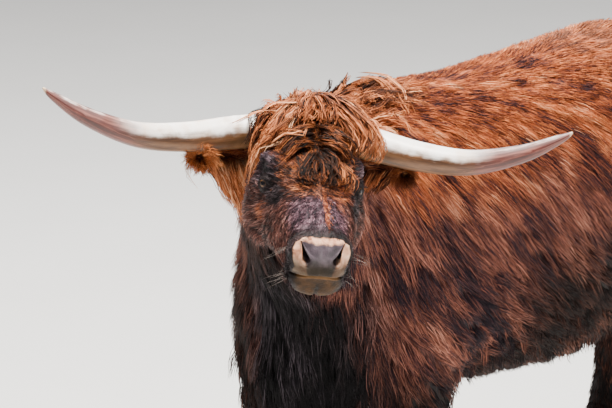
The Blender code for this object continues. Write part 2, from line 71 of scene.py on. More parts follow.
# For each flesh node: how far the skin lies inside it, how long its coat is, how far apart the
# locks stand, how many tufts a lock has, and a tuft's half width and number of stations.
FLESH_TABLE = {
    "head": (0.006, 0.024, 0.0080, 8, 0.00080, 3),
    "muzzle": (0.002, 0.013, 0.0060, 6, 0.0006, 3),
    "lower_jaw": (0.006, 0.034, 0.0105, 7, 0.0009, 4),
    "neck": (0.017, 0.085, 0.0205, 22, 0.0011, 3),
    "shoulders": (0.017, 0.088, 0.0220, 23, 0.0011, 3),
    "barrel": (0.017, 0.088, 0.0222, 23, 0.0011, 3),
    "rump": (0.017, 0.080, 0.0222, 21, 0.0012, 3),
    "udder": (0.003, 0.014, 0.0200, 4, 0.0007, 3),
    "foreleg_upper": (0.012, 0.055, 0.0185, 9, 0.0013, 4),
    "foreleg_lower": (0.006, 0.028, 0.0125, 7, 0.0012, 3),
    "hindleg_upper": (0.014, 0.065, 0.0205, 9, 0.0014, 4),
    "hindleg_lower": (0.006, 0.028, 0.0125, 7, 0.0012, 3),
    "tail_dock": (0.010, 0.055, 0.0145, 8, 0.0012, 4),
}
FLESH = {
    node: row
    for stem, row in FLESH_TABLE.items()
    for node in ([stem + "_l", stem + "_r"] if "leg_" in stem else [stem])
}
NODES = list(FLESH)
# Nodes whose coat is told apart into a left and a right piece.
TRUNK = ("barrel", "shoulders", "rump", "neck")
# A cell of the grid that roots are strewn over, in spacings, and the side of a tuft's patch in
# the bake map.
CELL = 1.22
PATCH = 0.003
DOWN = np.array((0.0, 0.0, -1.0))
# Where the hair of the face parts: out, forward and up.
WHORL = (0.004, 0.278, 0.045)

# The horn from root to tip, in the head's frame: place and radius.
HORN = (
    (0.076, -0.008, 0.058, 0.0342),
    (0.140, 0.000, 0.052, 0.0335),
    (0.240, 0.035, 0.048, 0.030),
    (0.340, 0.072, 0.060, 0.0255),
    (0.440, 0.096, 0.098, 0.0185),
    (0.510, 0.104, 0.138, 0.0095),
    (0.536, 0.105, 0.156, 0.0022),
)
# How far each horn reaches beside that table's, and how much lower it sits.
HORN_REACH = {"l": 0.96, "r": 1.005}
HORN_SINK = {"l": 0.006, "r": 0.004}
# The ear's leaf from root to tip: place, half its height, and thickness.
EAR = (
    (0.085, 0.000, 0.010, 0.014, 0.012),
    (0.105, -0.006, 0.008, 0.024, 0.011),
    (0.130, -0.014, 0.004, 0.031, 0.010),
    (0.160, -0.020, 0.000, 0.033, 0.009),
    (0.186, -0.022, -0.004, 0.027, 0.007),
    (0.206, -0.020, -0.006, 0.015, 0.005),
    (0.213, -0.018, -0.007, 0.004, 0.003),
)
# How far the leaf's edges curl forwards, in shares of its half height.
EAR_CUP = 0.45
# The cow's left is +1 across.
SIGN = {"l": 1, "r": -1}

# One claw: height, how far the toe and the heel reach, half width.
CLAW = (
    (0.0, 0.108, 0.013, 0.024),
    (0.003, 0.112, 0.016, 0.027),
    (0.012, 0.110, 0.018, 0.029),
    (0.040, 0.100, 0.022, 0.0285),
    (0.066, 0.085, 0.026, 0.026),
    (0.074, 0.078, 0.022, 0.021),
)

# The bare leather of nose and lips as seen from the front: height, and half its width there.
LEATHER_EDGE = (
    (-0.114, 0.0), (-0.106, 0.024), (-0.092, 0.038), (-0.070, 0.046), (-0.054, 0.051),
    (-0.042, 0.050), (-0.028, 0.048), (-0.010, 0.053), (0.005, 0.0565), (0.020, 0.051),
    (0.030, 0.038), (0.036, 0.016), (0.038, 0.0),
)
# The two ends of the nostril's slit: out and up.
NOSTRIL_TOP = (0.0415, 0.024)
NOSTRIL_FOOT = (0.0295, -0.006)


def srgb(*colour):
    """A colour given in the 0 to 255 of a paint chart, made linear."""
    parts = [part / 255 for part in colour]
    return tuple(part / 12.92 if part < 0.0404 else ((part + 0.055) / 1.055) ** 2.4 for part in parts)


def shades(*stops):
    """Stops of a colour ramp, each from a place and a paint chart's red, green and blue."""
    return [(place, srgb(*colour)) for place, *colour in stops]


# --- Places


def smooth_step(low, high, value):
    share = np.clip((value - low) / (high - low), 0.0, 1.0)
    return share * share * (3.0 - 2.0 * share)


def unit(vectors):
    return vectors / np.maximum(np.linalg.norm(vectors, axis=-1, keepdims=True), 1e-9)


def to_head(points):
    """(out, forward, up) of points in the head's own frame."""
    local = (points - np.array(HEAD_PLACE)) @ np.array(HEAD_SPIN)
    return local * np.array((1.0, -1.0, 1.0))


def from_head(local):
    return (local * np.array((1.0, -1.0, 1.0))) @ np.array(HEAD_SPIN).T + np.array(HEAD_PLACE)


def head_way(local):
    """Directions, not places, out of the head's frame."""
    return (local * np.array((1.0, -1.0, 1.0))) @ np.array(HEAD_SPIN).T


FACE_WAY = head_way((0.0, 1.0, 0.0))
EAR_WAY = head_way((1.0, 0.0, 0.0))


def to_body(points):
    return points - np.array(BODY_PLACE)


def folded_over(local):
    """Places of the head with its right half turned over onto its left."""
    return np.hstack([np.abs(local[:, 0:1]), local[:, 1:]])


def off_face(local):
    """Distance from the middle of the face."""
    return np.linalg.norm(local - (0.0, 0.2, 0.0), axis=1)


def blend(first, second, share):
    """Rows of the first turned into the second, by each row's share."""
    share = np.asarray(share)[:, None]
    return first * (1 - share) + second * share


def curve(rows, steps):
    """A table of stations filled with smooth ones between them."""
    table = np.array(rows)
    padded = np.vstack([table[:1], table, table[-1:]])
    filled = []
    for i in range(len(table) - 1):
        p, q, r, s = padded[i : i + 4]
        for t in np.arange(steps) / steps:
            bend = 2 * p - 5 * q + 4 * r - s
            twist = 3 * q - p - 3 * r + s
            filled.append(0.5 * (2 * q + (r - p) * t + bend * t**2 + twist * t**3))
    filled.append(table[-1])
    return np.array(filled)


# --- Pieces


def stand(name, data):
    """A new object in the scene."""
    newcomer = bpy.data.objects.new(name, data)
    bpy.context.scene.collection.objects.link(newcomer)
    return newcomer


def add_piece(name, mesh, material, replaced=()):
    """A finished piece of the cow, at the origin, riding on its one body."""
    mesh.materials.clear()
    mesh.materials.append(material)
    mesh.shade_smooth()
    piece = stand(name, mesh)
    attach(piece, "root")
    if replaced:
        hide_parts(*replaced)


def mesh_of(name, bm):
    bmesh.ops.recalc_face_normals(bm, faces=bm.faces)
    mesh = bpy.data.meshes.new(name)
    bm.to_mesh(mesh)
    bm.free()
    return mesh


def ring(bm, points):
    """A ring of edges through as many places as there are points."""
    circle = bmesh.ops.create_circle(bm, cap_ends=False, radius=1.0, segments=len(points))["verts"]
    for vert, point in zip(circle, points):
        vert.co = Vector(point)
    return list({edge for vert in circle for edge in vert.link_edges})


def loft(bm, rings, close=True):
    """Bridges rings of places into a tube, closed at both ends."""
    loops = [ring(bm, points) for points in rings]
    for first, second in zip(loops, loops[1:]):
        bmesh.ops.bridge_loops(bm, edges=first + second)
    for end in (loops[0], loops[-1]) if close else ():
        bmesh.ops.contextual_create(bm, geom=end)


def tube_rings(centres, across, along, radii, sides):
    """Rings of as many sides round a path's stations."""
    angles = np.arange(sides) * 2 * math.pi / sides
    return [
        centre + np.outer(np.cos(angles) * radius, one) + np.outer(np.sin(angles) * radius, other)
        for centre, one, other, radius in zip(centres, across, along, radii)
    ]


# --- Finishes


class Wire:
    """One output of a finish's nodes. Arithmetic on wires adds the Math nodes it needs."""

    def __init__(self, finish, socket):
        self.finish = finish
        self.socket = socket

    def math(self, operation, *values):
        return self.finish.node("ShaderNodeMath", {"operation": operation}, dict(enumerate(values)))

    def __add__(self, other):
        return self.math("ADD", self, other)

    __radd__ = __add__

    def __sub__(self, other):
        return self.math("SUBTRACT", self, other)

    def __rsub__(self, other):
        return self.math("SUBTRACT", other, self)

    def __mul__(self, other):
        return self.math("MULTIPLY", self, other)

    __rmul__ = __mul__

    def __truediv__(self, other):
        return self.math("DIVIDE", self, other)

    def __abs__(self):
        return self.math("ABSOLUTE", self)

    def step(self, low, high):
        """0 below low and 1 above high, with a soft rise between. The two may be swapped."""
        start, end, first, last = (low, high, 0.0, 1.0) if low < high else (high, low, 1.0, 0.0)
        settings = {"interpolation_type": "SMOOTHSTEP"}
        values = {"Value": self, "From Min": start, "From Max": end, "To Min": first, "To Max": last}
        return self.finish.node("ShaderNodeMapRange", settings, values)

    def vector(self, operation, other, output=0):
        values = {0: self, 1: tuple(other)}
        return self.finish.node("ShaderNodeVectorMath", {"operation": operation}, values, output)

    def dot(self, direction):
        return self.vector("DOT_PRODUCT", direction, "Value")

    def less(self, place):
        return self.vector("SUBTRACT", place)

    def times(self, scale):
        return self.vector("MULTIPLY", scale)


class Finish:
    """A material and the one way its nodes are made."""

    def __init__(self, name):
        self.material = bpy.data.materials.new(name)
        self.material.use_nodes = True
        self.tree = self.material.node_tree
        self.shader = self.tree.nodes["Principled BSDF"]

    def node(self, kind, settings=None, values=None, output=0):
        node = self.tree.nodes.new(kind)
        for setting, value in (settings or {}).items():
            if setting == "stops":
                self.set_stops(node.color_ramp, value)
            else:
                setattr(node, setting, value)
        for name, value in (values or {}).items():
            if isinstance(value, Wire):
                self.tree.links.new(value.socket, node.inputs[name])
            else:
                node.inputs[name].default_value = value
        return Wire(self, node.outputs[output])

    def set_stops(self, ramp, stops):
        while len(ramp.elements) < len(stops):
            ramp.elements.new(0.5)
        for element, (place, colour) in zip(ramp.elements, stops):
            element.position = place
            element.color = (*colour, 1.0)

    def feed(self, **values):
        for name, value in values.items():
            socket = self.shader.inputs[name.replace("_", " ")]
            if isinstance(value, Wire):
                self.tree.links.new(value.socket, socket)
            else:
                socket.default_value = value

    def place(self):
        return self.node("ShaderNodeTexCoord", output="Object")

    def own(self, name, output="Fac"):
        """A value that a piece's own vertices carry."""
        return self.node("ShaderNodeAttribute", {"attribute_name": name}, output=output)

    def noise(self, place, scale, detail=3.0, rough=0.5, output="Fac"):
        values = {"Vector": place, "Scale": scale, "Detail": detail, "Roughness": rough}
        return self.node("ShaderNodeTexNoise", None, values, output)

    def ramp(self, value, *stops):
        return self.node("ShaderNodeValToRGB", {"stops": stops}, {"Fac": value})

    def paint(self, value, *stops):
        return self.ramp(value, *shades(*stops))

    def mix(self, share, first, second, blend="MIX"):
        settings = {"data_type": "RGBA", "blend_type": blend}
        colours = [part if isinstance(part, Wire) else (*part, 1.0) for part in (first, second)]
        return self.node("ShaderNodeMix", settings, {0: share, 6: colours[0], 7: colours[1]}, 2)

    def over(self, colour, *layers):
        """A colour with others laid over it, each by its share."""
        for share, layer in layers:
            colour = self.mix(share, colour, layer)
        return colour

    def bump(self, height, strength, distance):
        values = {"Height": height, "Strength": strength, "Distance": distance}
        return self.node("ShaderNodeBump", None, values, "Normal")


def in_body(place):
    """Across, back and height of a place from the withers' foot, as wires."""
    local = place.less(BODY_PLACE)
    return [local.dot(axis) for axis in np.eye(3)]


def in_head(place):
    """Out, forward and up of a place in the head's frame, as wires."""
    local = place.less(HEAD_PLACE)
    axes = HEAD_SPIN.transposed()
    return local.dot(axes[0]), local.dot(-axes[1]), local.dot(axes[2])


def spot(head, centre, radii, soft=0.6):
    """1 within an ellipsoid of the head's frame, fading to 0 past its edge."""
    total = 0.0
    for part, middle, radius in zip(head, centre, radii):
        gap = (part - middle) / radius
        total = gap * gap + total
    return total.step(1.0 + soft, 1.0 - soft)


# Colours of the hair, from its darkest streaks to its lightest.
# The pale pinkish and blue-grey light ends of the middle, black, face and cheek colours are painted sheen.
UPPER_COAT = shades(
    (0.00, 40, 30, 38), (0.20, 80, 46, 44), (0.45, 172, 88, 49), (0.74, 225, 131, 78), (1.00, 248, 184, 138)
)
MIDDLE_COAT = shades(
    (0.00, 21, 18, 29), (0.26, 54, 37, 45), (0.52, 118, 71, 60), (0.80, 172, 110, 90), (1.00, 208, 150, 130)
)
LOWER_COAT = shades((0.00, 9, 8, 10), (0.40, 28, 18, 16), (0.72, 66, 38, 30), (1.00, 130, 88, 72))
BLACK_COAT = shades((0.00, 7, 7, 9), (0.55, 22, 19, 22), (1.00, 98, 90, 98))
GINGER_HAIR = shades(
    (0.00, 26, 15, 11), (0.26, 80, 42, 24), (0.54, 174, 98, 56), (0.80, 228, 150, 100), (1.00, 250, 198, 156)
)
FACE_HAIR = shades((0.00, 12, 8, 13), (0.36, 52, 34, 44), (0.68, 124, 90, 102), (1.00, 206, 170, 182))
CHEEK_HAIR = shades((0.00, 14, 9, 10), (0.42, 58, 33, 29), (0.76, 128, 82, 72), (1.00, 194, 144, 132))
BROW_HAIR = shades((0.00, 14, 9, 7), (0.34, 50, 30, 21), (0.64, 146, 78, 38), (1.00, 232, 146, 82))
EAR_HAIR = shades((0.00, 24, 12, 8), (0.38, 116, 60, 32), (0.74, 208, 128, 74), (1.00, 240, 176, 120))
# The same for the nose's pale leather, as a paint chart has them.
PEACH = ((0.2, 164, 98, 68), (0.5, 228, 172, 138), (0.8, 252, 220, 192))

# The orange places on the face: centre and radii in the head's frame, and how orange they are.
ORANGE_PATCHES = (
    ((0.013, 0.350, 0.055), (0.0050, 0.085, 0.04), 0.85),
    ((0.038, 0.295, 0.055), (0.010, 0.045, 0.03), 0.5),
    ((0.062, 0.236, 0.058), (0.020, 0.040, 0.03), 1.0),
    ((-0.100, 0.235, -0.012), (0.014, 0.035, 0.03), 0.55),
    ((-0.050, 0.165, 0.085), (0.022, 0.024, 0.03), 0.35),
)
# The dark places round the eyes: centres and radii.
# The first on each side is a dark tear patch towards the nose, the second painted shade above the eye, under
# the brow.
EYE_STAINS_AND_SHADE = (
    ((-0.074, 0.244, 0.032), (0.022, 0.046, 0.021)),
    ((-0.090, 0.196, 0.046), (0.022, 0.032, 0.016)),
    ((0.081, 0.245, 0.022), (0.019, 0.052, 0.028)),
    ((0.096, 0.196, 0.040), (0.022, 0.032, 0.016)),
)


def markings(finish, place, streak):
    """The colours that skin and coat share: a place's own colour, by how light its streak is."""
    across, back, height = in_body(place)
    cloud = finish.noise(place.times((1.0, 0.6, 1.0)), 4.5, 2.0) - 0.5
    level = height + cloud * 0.22
    palettes = (UPPER_COAT, MIDDLE_COAT, LOWER_COAT, BLACK_COAT, CHEEK_HAIR, BROW_HAIR, FACE_HAIR)
    upper, middle, lower, black, cheeks, brown, violet = (finish.ramp(streak, *stops) for stops in palettes)

    # Painted shade: the cow's far side, away from the camera, takes the lower coat's darker colours below
    # the back.
    far = across.step(0.00, -0.10) * level.step(1.0, 0.80)
    under = (back + cloud * 0.3).step(0.14, 0.36) * level.step(0.90, 0.68)
    throat_side = back.step(-0.20, -0.34) * across.step(0.18, 0.10)
    low = level.step(0.64, 0.48) + under + far + throat_side
    coat = finish.mix(low.math("MINIMUM", low, 1.0), middle, lower)
    neck = (back + cloud * 0.2).step(-0.04, -0.24) * height.step(1.16, 1.08)
    coat = finish.mix((level - neck * 0.16).step(0.88, 1.06), coat, upper)
    # Painted highlight: a pale glare of light on top of the back, towards the rump.
    painted_sun_glare = back.step(0.60, 0.85) * level.step(0.98, 1.08)
    coat = finish.mix(painted_sun_glare * 0.22, coat, srgb(240, 164, 120))
    chest = across.step(-0.07, -0.01) * (across + cloud * 0.1).step(0.22, 0.13)
    chest = chest * (back + cloud * 0.12).step(-0.04, -0.15) * level.step(0.92, 0.78)
    coat = finish.mix(chest, coat, black)
    coat = finish.mix(height.step(0.42, 0.28), coat, lower)

    head = in_head(place)

    def dab(under, centre, radii, colour, share=1.0, soft=0.6):
        return finish.mix(spot(head, centre, radii, soft) * share, under, colour)

    face = dab(coat, (-0.02, 0.16, -0.22), (0.19, 0.30, 0.12), finish.mix(0.5, lower, black), 0.85, 0.7)
    face = dab(face, (0.0, 0.22, -0.02), (0.16, 0.27, 0.17), cheeks, soft=0.3)
    face = dab(face, (0.0, 0.13, 0.07), (0.10, 0.13, 0.07), brown)
    temple = finish.mix(0.76, violet, black)
    face = dab(face, (-0.094, 0.165, 0.052), (0.034, 0.05, 0.045), temple)
    face = dab(face, (0.106, 0.16, 0.058), (0.034, 0.05, 0.038), temple)
    # Painted sheen: the bridge of the nose in the face hair's mauve.
    face = dab(face, (-0.004, 0.365, 0.05), (0.060, 0.085, 0.05), violet)
    face = dab(face, (0.0, 0.275, 0.06), (0.050, 0.030, 0.03), brown, 0.8)
    dark = spot(head, (0.0, 0.455, -0.04), (0.11, 0.075, 0.10))
    dark = dark + spot(head, (0.0, 0.36, -0.14), (0.12, 0.16, 0.08))
    face = finish.mix(dark.math("MINIMUM", dark, 1.0) * 0.9, face, black)
    for centre, radii, share in ORANGE_PATCHES:
        face = dab(face, centre, radii, upper, share, 0.5)
    # Dark tear patches, and painted shade over each eye.
    for centre, radii in EYE_STAINS_AND_SHADE:
        face = dab(face, centre, radii, black, 0.9)
    return face


def coat_finish(name, ramp=None, root_shade=0.34):
    """Hair: each tuft takes the colour of its root's place and its own chance, in painted shade at the root,
    paler to the tip.
    """
    finish = Finish(name)
    root = finish.own("root", "Vector")
    chance = finish.own("chance")
    along = finish.own("along")
    patch = finish.noise(finish.own("lie", "Vector"), 15.0, 4.0, 0.72)
    streak = chance * 0.78 + (patch - 0.5) * 2.3 + 0.05
    colour = finish.ramp(streak, *ramp) if ramp else markings(finish, root, streak)
    # Painted shade: each tuft darkens towards its root, where the coat shades itself, and is a little paler
    # at its tip.
    shade = (0.0, (root_shade,) * 3), (0.40, (0.85, 0.84, 0.84)), (1.0, (1.14, 1.10, 1.06))
    colour = finish.mix(1.0, colour, finish.ramp(along, *shade), "MULTIPLY")
    finish.feed(Base_Color=colour, Roughness=0.6, Specular_IOR_Level=0.12)
    return finish.material


def leather(finish, blotch, wobble, edge, wide, forward, up):
    """Nose and lips: peach rims, a grey pad between the nostrils, olive below it, and dark lips."""
    grey = finish.paint(blotch, (0.25, 44, 37, 41), (0.5, 76, 65, 72), (0.8, 108, 94, 102))
    olive = finish.paint(blotch, (0.2, 22, 17, 8), (0.8, 50, 40, 22))
    # Olive-brown lips, darkened further with painted shade under the upper lip.
    shaded_lip = finish.paint(blotch, (0.3, 20, 11, 2), (0.7, 66, 41, 12))
    pad = (up * 0.30 + 0.0345 - wide + wobble * 0.4).step(-0.003, 0.003) * (up + wobble).step(0.028, 0.022)
    line = up - (forward - 0.465) * 0.07 + 0.041 + wide * wide * 3.6
    # Painted shade in the chin's cleft below the mouth.
    cleft = (wide + wobble * 0.15).step(0.0050, 0.0005) * line.step(-0.014, -0.022)
    light = line.step(-0.006, -0.003) * line.step(0.002, -0.001)
    # Painted shade in the mouth's corners.
    mouth_end = wide.step(0.036, 0.046) * abs(line).step(0.012, 0.004)
    colour = finish.over(
        finish.paint(blotch, *PEACH),
        (pad, grey),
        ((up + wobble).step(0.004, -0.026) * 0.92, olive),
        (line.step(0.001, -0.003), finish.mix(cleft * 0.7, shaded_lip, srgb(14, 8, 4))),
        (light * 0.5, srgb(146, 108, 70)),
        (edge.step(0.012, 0.0) * line.step(0.01, -0.01) * 0.9, srgb(18, 11, 8)),
        ((up + wobble * 0.6 - 0.030).step(0.002, 0.005), srgb(24, 15, 13)),
        (mouth_end * 0.9, srgb(16, 9, 7)),
    )
    return colour, pad


def leather_edge(finish, up, wide, wobble):
    """How far a place of the muzzle lies inside the leather's edge."""
    low, high, widest = -0.115, 0.040, 0.06
    stops = []
    for height, half in LEATHER_EDGE:
        share = (height - low) / (high - low)
        stops.append((min(max(share, 0), 1), (half / widest,) * 3))
    return finish.ramp((up - low) / (high - low), *stops) * widest - wide + wobble * 0.6


def nostril_shade(wide, up):
    """1 in the nostril's slit, which gapes wider towards its foot."""
    rise = (NOSTRIL_TOP[1] - up) / (NOSTRIL_TOP[1] - NOSTRIL_FOOT[1])
    middle_line = wide - NOSTRIL_TOP[0] + rise * (NOSTRIL_TOP[0] - NOSTRIL_FOOT[0])
    gape = rise.step(0.2, 1.0) * 0.0054 + 0.0008
    return (gape - abs(middle_line)).step(-0.0010, 0.0010) * rise.step(-0.08, 0.02) * rise.step(1.16, 1.02)


def skin_finish():
    """Bare leather where the coat leaves it, and under it the coat's own colours, darker."""
    finish = Finish("cow skin")
    place = finish.place()
    lie = finish.own("lie", "Vector")
    hairs = finish.noise(lie, 200.0, 2.0)
    patch = finish.noise(lie, 15.0, 4.0, 0.72)
    streak = hairs * 1.1 + (patch - 0.5) * 2.2 - 0.10
    colour = finish.mix(1.0, markings(finish, place, streak), (0.55, 0.52, 0.52), "MULTIPLY")

    out, forward, up = in_head(place)
    wide = abs(out)
    blotch = finish.noise(place, 55.0, 3.0)
    fine = finish.noise(place, 240.0, 2.0)
    wobble = (blotch - 0.5) * 0.010
    edge = leather_edge(finish, up, wide, wobble)
    bare = edge.step(-0.0015, 0.0015) * forward.step(0.405, 0.415)
    nose, pad = leather(finish, blotch, wobble, edge, wide, forward, up)
    colour = finish.mix(bare, colour, nose)
    colour = finish.mix(nostril_shade(wide, up) * forward.step(0.41, 0.42), colour, srgb(14, 8, 8))

    across, back, height = in_body(place)
    udder = (height - abs(back - 0.89) * 0.5).step(0.50, 0.46)
    udder = udder * abs(across).step(0.075, 0.055) * back.step(0.74, 0.80)
    colour = finish.mix(udder, colour, finish.paint(blotch, *PEACH))
    # Painted shade round each eye: the bare lids' own dark skin, darkened out past the lids over the deep
    # socket.
    lids = finish.mix(blotch, srgb(12, 8, 9), srgb(34, 24, 24))
    for side in (-1, 1):
        lid = spot((out, forward, up), (side * EYE_OUT, EYE_FORWARD, EYE_UP), (0.028, 0.033, 0.026), 0.25)
        colour = finish.mix(lid * 0.95, colour, lids)
        corner = spot((out, forward, up), (side * 0.078, 0.212, 0.022), (0.007, 0.009, 0.006), 0.5)
        colour = finish.mix(corner * 0.75, colour, srgb(176, 112, 84))

    pores = finish.node("ShaderNodeTexVoronoi", None, {"Vector": place, "Scale": 330.0}, "Distance")
    relief = pores * bare * 0.8 + fine * bare * 0.3 + hairs * (1 - bare) * 1.4
    wet = bare * pad * up.step(-0.022, 0.006)
    finish.feed(Base_Color=colour, Roughness=wet * -0.20 + 0.62, Normal=finish.bump(relief, 0.6, 0.0015))
    finish.feed(Specular_IOR_Level=0.18, Coat_Weight=wet * 0.45, Coat_Roughness=0.28)
    return finish.material


def horn_finish():
    """Ivory lit above, tan painted shade below and near the root, fine rings, pinkish brown outwards, a pale
    tip.
    """
    finish = Finish("horn")
    place = finish.place()
    way = finish.own("reach")
    top = finish.own("topside")
    grain = finish.noise(place, 30.0, 4.0)
    streaks = finish.noise(finish.own("strip", "Vector"), 1.0, 4.0, 0.6)
    rings = way * 150.0 + grain * 5.0
    rings = rings.math("SINE", rings) * 0.5 + 0.5
    ivory = finish.paint(grain, (0.25, 238, 216, 198), (0.5, 252, 245, 238), (0.75, 255, 253, 250))
    tan = finish.paint(streaks, (0.25, 40, 22, 10), (0.5, 92, 58, 31), (0.75, 152, 106, 66))
    pink = finish.paint(streaks, (0.25, 36, 12, 11), (0.5, 92, 40, 34), (0.75, 162, 98, 84))
    side = top + (grain - 0.5) * 0.8 + (streaks - 0.5) * 0.7
    outer = (way + (grain - 0.5) * 0.10).step(0.42, 0.58) * side.step(1.5, 0.95)
    tip = (way + (streaks - 0.5) * 0.04).step(0.92, 0.96)
    near_root = way.step(0.34, 0.02)
    # The horn's underside, for painted shade.
    below = top.step(0.6, -0.1)
    # Painted light and shade: ivory on the horn's lit top, tan on its shaded underside, darker at the root
    # and in streaks below.
    colour = finish.over(
        finish.mix(side.step(0.20, 0.80), tan, ivory),
        (outer * 0.95, pink),
        (tip * 0.8, srgb(226, 196, 160)),
        (near_root * rings * 0.4, srgb(120, 84, 58)),
        (near_root * below * 0.6, srgb(104, 78, 48)),
        (streaks.step(0.58, 0.72) * below * 0.6, srgb(66, 40, 30)),
    )
    relief = rings * near_root * 0.6 + streaks * 0.6
    finish.feed(Base_Color=colour, Roughness=streaks * 0.2 + 0.30, Normal=finish.bump(relief, 0.35, 0.0008))
    return finish.material


def claw_finish():
    """Dull dark horn with growth rings, scuffed pale at the ground."""
    finish = Finish("claw horn")
    place = finish.place()
    height = place.dot((0, 0, 1))
    grain = finish.noise(place.times((1.0, 1.0, 0.25)), 90.0, 4.0)
    rings = finish.noise(place.times((0.1, 0.1, 1.0)), 190.0, 2.0)
    colour = finish.paint(grain, (0.2, 38, 32, 30), (0.55, 78, 66, 58), (0.85, 124, 106, 90))
    scuff = (height + (grain - 0.5) * 0.02).step(0.016, 0.002)
    colour = finish.mix(scuff * 0.6, colour, srgb(150, 132, 110))
    normal = finish.bump(rings + grain, 0.5, 0.0015)
    finish.feed(Base_Color=colour, Roughness=grain * 0.3 + 0.45, Normal=normal)
    return finish.material


def eye_finish(side):
    """A wet dark ball: brown iris, a long level pupil, and a dull rim of white."""
    finish = Finish("eye " + side)
    place = finish.place()
    local = place.less(from_head(EYE_PLACES[side]))
    gaze = head_way(EYE_AXES[0] * (SIGN[side], 1, 1))
    level = unit(np.cross(gaze, (0.0, 0.0, 1.0)))
    upright = np.cross(level, gaze)
    across = local.dot(level) / 0.0078
    high = local.dot(upright) / 0.0042
    wide = local.dot(level) / 0.0135
    tall = local.dot(upright) / 0.0135
    pupil = (across * across + high * high).step(1.15, 0.85)
    iris = (wide * wide + tall * tall).step(1.1, 0.85)
    vein = finish.noise(local, 420.0, 3.0)
    brown = finish.paint(vein, (0.3, 46, 29, 17), (0.7, 118, 84, 52))
    white = finish.paint(vein, (0.3, 30, 20, 18), (0.7, 62, 48, 44))
    colour = finish.mix(pupil, finish.mix(iris, white, brown), srgb(4, 3, 4))
    finish.feed(Base_Color=colour, Roughness=0.10, Specular_IOR_Level=0.22)
    finish.feed(Coat_Weight=0.10, Coat_Roughness=0.03)
    return finish.material


def near_nostril(local):
    wide = np.abs(local[:, 0])
    return (local[:, 1] > 0.42) & (np.hypot(wide - 0.034, local[:, 2] - 0.008) < 0.026)


def nostril_gap(wide, up):
    """How far a place is from the nostril's slanting slit, in its own half widths, and how low."""
    run, rise = NOSTRIL_FOOT[0] - NOSTRIL_TOP[0], NOSTRIL_FOOT[1] - NOSTRIL_TOP[1]
    low = np.clip(((wide - NOSTRIL_TOP[0]) * run + (up - NOSTRIL_TOP[1]) * rise) / (run**2 + rise**2), 0, 1)
    gap = np.hypot(wide - NOSTRIL_TOP[0] - run * low, up - NOSTRIL_TOP[1] - rise * low)
    return gap / (0.0010 + 0.0062 * low**1.8), low


# Eye: outward, along the opening from its inner to its outer corner, and across it.
EYE_PLACES = {
    "l": (EYE_OUT, EYE_FORWARD, EYE_UP),
    "r": (-EYE_OUT, EYE_FORWARD, EYE_UP),
}
EYE_OUTWARD = np.array((0.80, 0.52, 0.22)) / np.linalg.norm((0.80, 0.52, 0.22))
EYE_LONG = np.array((0.48, -0.80, 0.24))
EYE_LONG = unit(EYE_LONG - EYE_OUTWARD * EYE_LONG.dot(EYE_OUTWARD))
EYE_AXES = (EYE_OUTWARD, EYE_LONG, np.cross(EYE_LONG, EYE_OUTWARD))
# Half the length and half the height of the opening between the lids.
OPENING_LONG, OPENING_HIGH = 0.0098, 0.0076
# The lids' roll: how far from the opening's middle, as a share of its size, and how far out.
LID_ROLL = (
    (0.84, 0.0170), (0.93, 0.0190), (1.0, 0.0203), (1.1, 0.0214),
    (1.28, 0.0220), (1.6, 0.0216), (1.95, 0.0198),
)


# --- The skin


def flesh_bmesh():
    """The solids of flesh in one mesh, with the eye sockets and nostrils filled."""
    bm = bmesh.new()
    owners = []
    for number, node in enumerate(NODES):
        bm.from_mesh(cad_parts[node].data)
        owners += [number] * (len(bm.faces) - len(owners))
    for side in (-1, 1):
        fillings = (((side * EYE_OUT, EYE_FORWARD, EYE_UP), 0.0215), ((side * 0.031, 0.455, 0.0), 0.017))
        for local, radius in fillings:
            place = Matrix.Translation(Vector(from_head(local)))
            bmesh.ops.create_uvsphere(bm, u_segments=20, v_segments=12, radius=radius, matrix=place)
    owners += [0] * (len(bm.faces) - len(owners))
    bmesh.ops.remove_doubles(bm, verts=bm.verts, dist=1e-5)
    return bm, owners


def vertex_places(bm):
    return np.array([vert.co for vert in bm.verts])


def soften(bm, verts, times):
    axes = {"use_axis_" + axis: True for axis in "xyz"}
    for _ in range(times):
        bmesh.ops.smooth_vert(bm, verts=verts, factor=0.5, **axes)


def refine(bm, wanted):
    """Halves the faces whose middles the test wants, and returns their corners."""
    bm.faces.ensure_lookup_table()
    middles = np.array([face.calc_center_median() for face in bm.faces])
    chosen = wanted(to_head(middles))
    edges = {edge for face, keep in zip(bm.faces, chosen) if keep for edge in face.edges}
    bmesh.ops.subdivide_edges(bm, edges=list(edges), cuts=1, use_grid_fill=True)
    bm.verts.ensure_lookup_table()
    kept = wanted(to_head(vertex_places(bm)))
    return [vert for vert, keep in zip(bm.verts, kept) if keep]


def near_head(local):
    return (local[:, 1] > -0.07) & (off_face(local) < 0.36)


def detail_test(round_eye, front, round_muzzle):
    """A test for places of the head that lie by an eye or on the muzzle."""

    def near_detail(local):
        eye = np.linalg.norm(folded_over(local) - EYE_PLACES["l"], axis=1) < round_eye
        muzzle = np.linalg.norm(local - (0.0, 0.43, -0.03), axis=1) < round_muzzle
        return eye | (muzzle & (local[:, 1] > front))

    return near_detail


def spread(values, ends, count, times):
    """Evens out values over a mesh along its edges."""
    degree = np.maximum(np.bincount(ends.ravel(), minlength=count), 1)
    for _ in range(times):
        total = np.bincount(ends[:, 0], values[ends[:, 1]], count)
        total += np.bincount(ends[:, 1], values[ends[:, 0]], count)
        values = 0.5 * values + 0.5 * total / degree
    return values


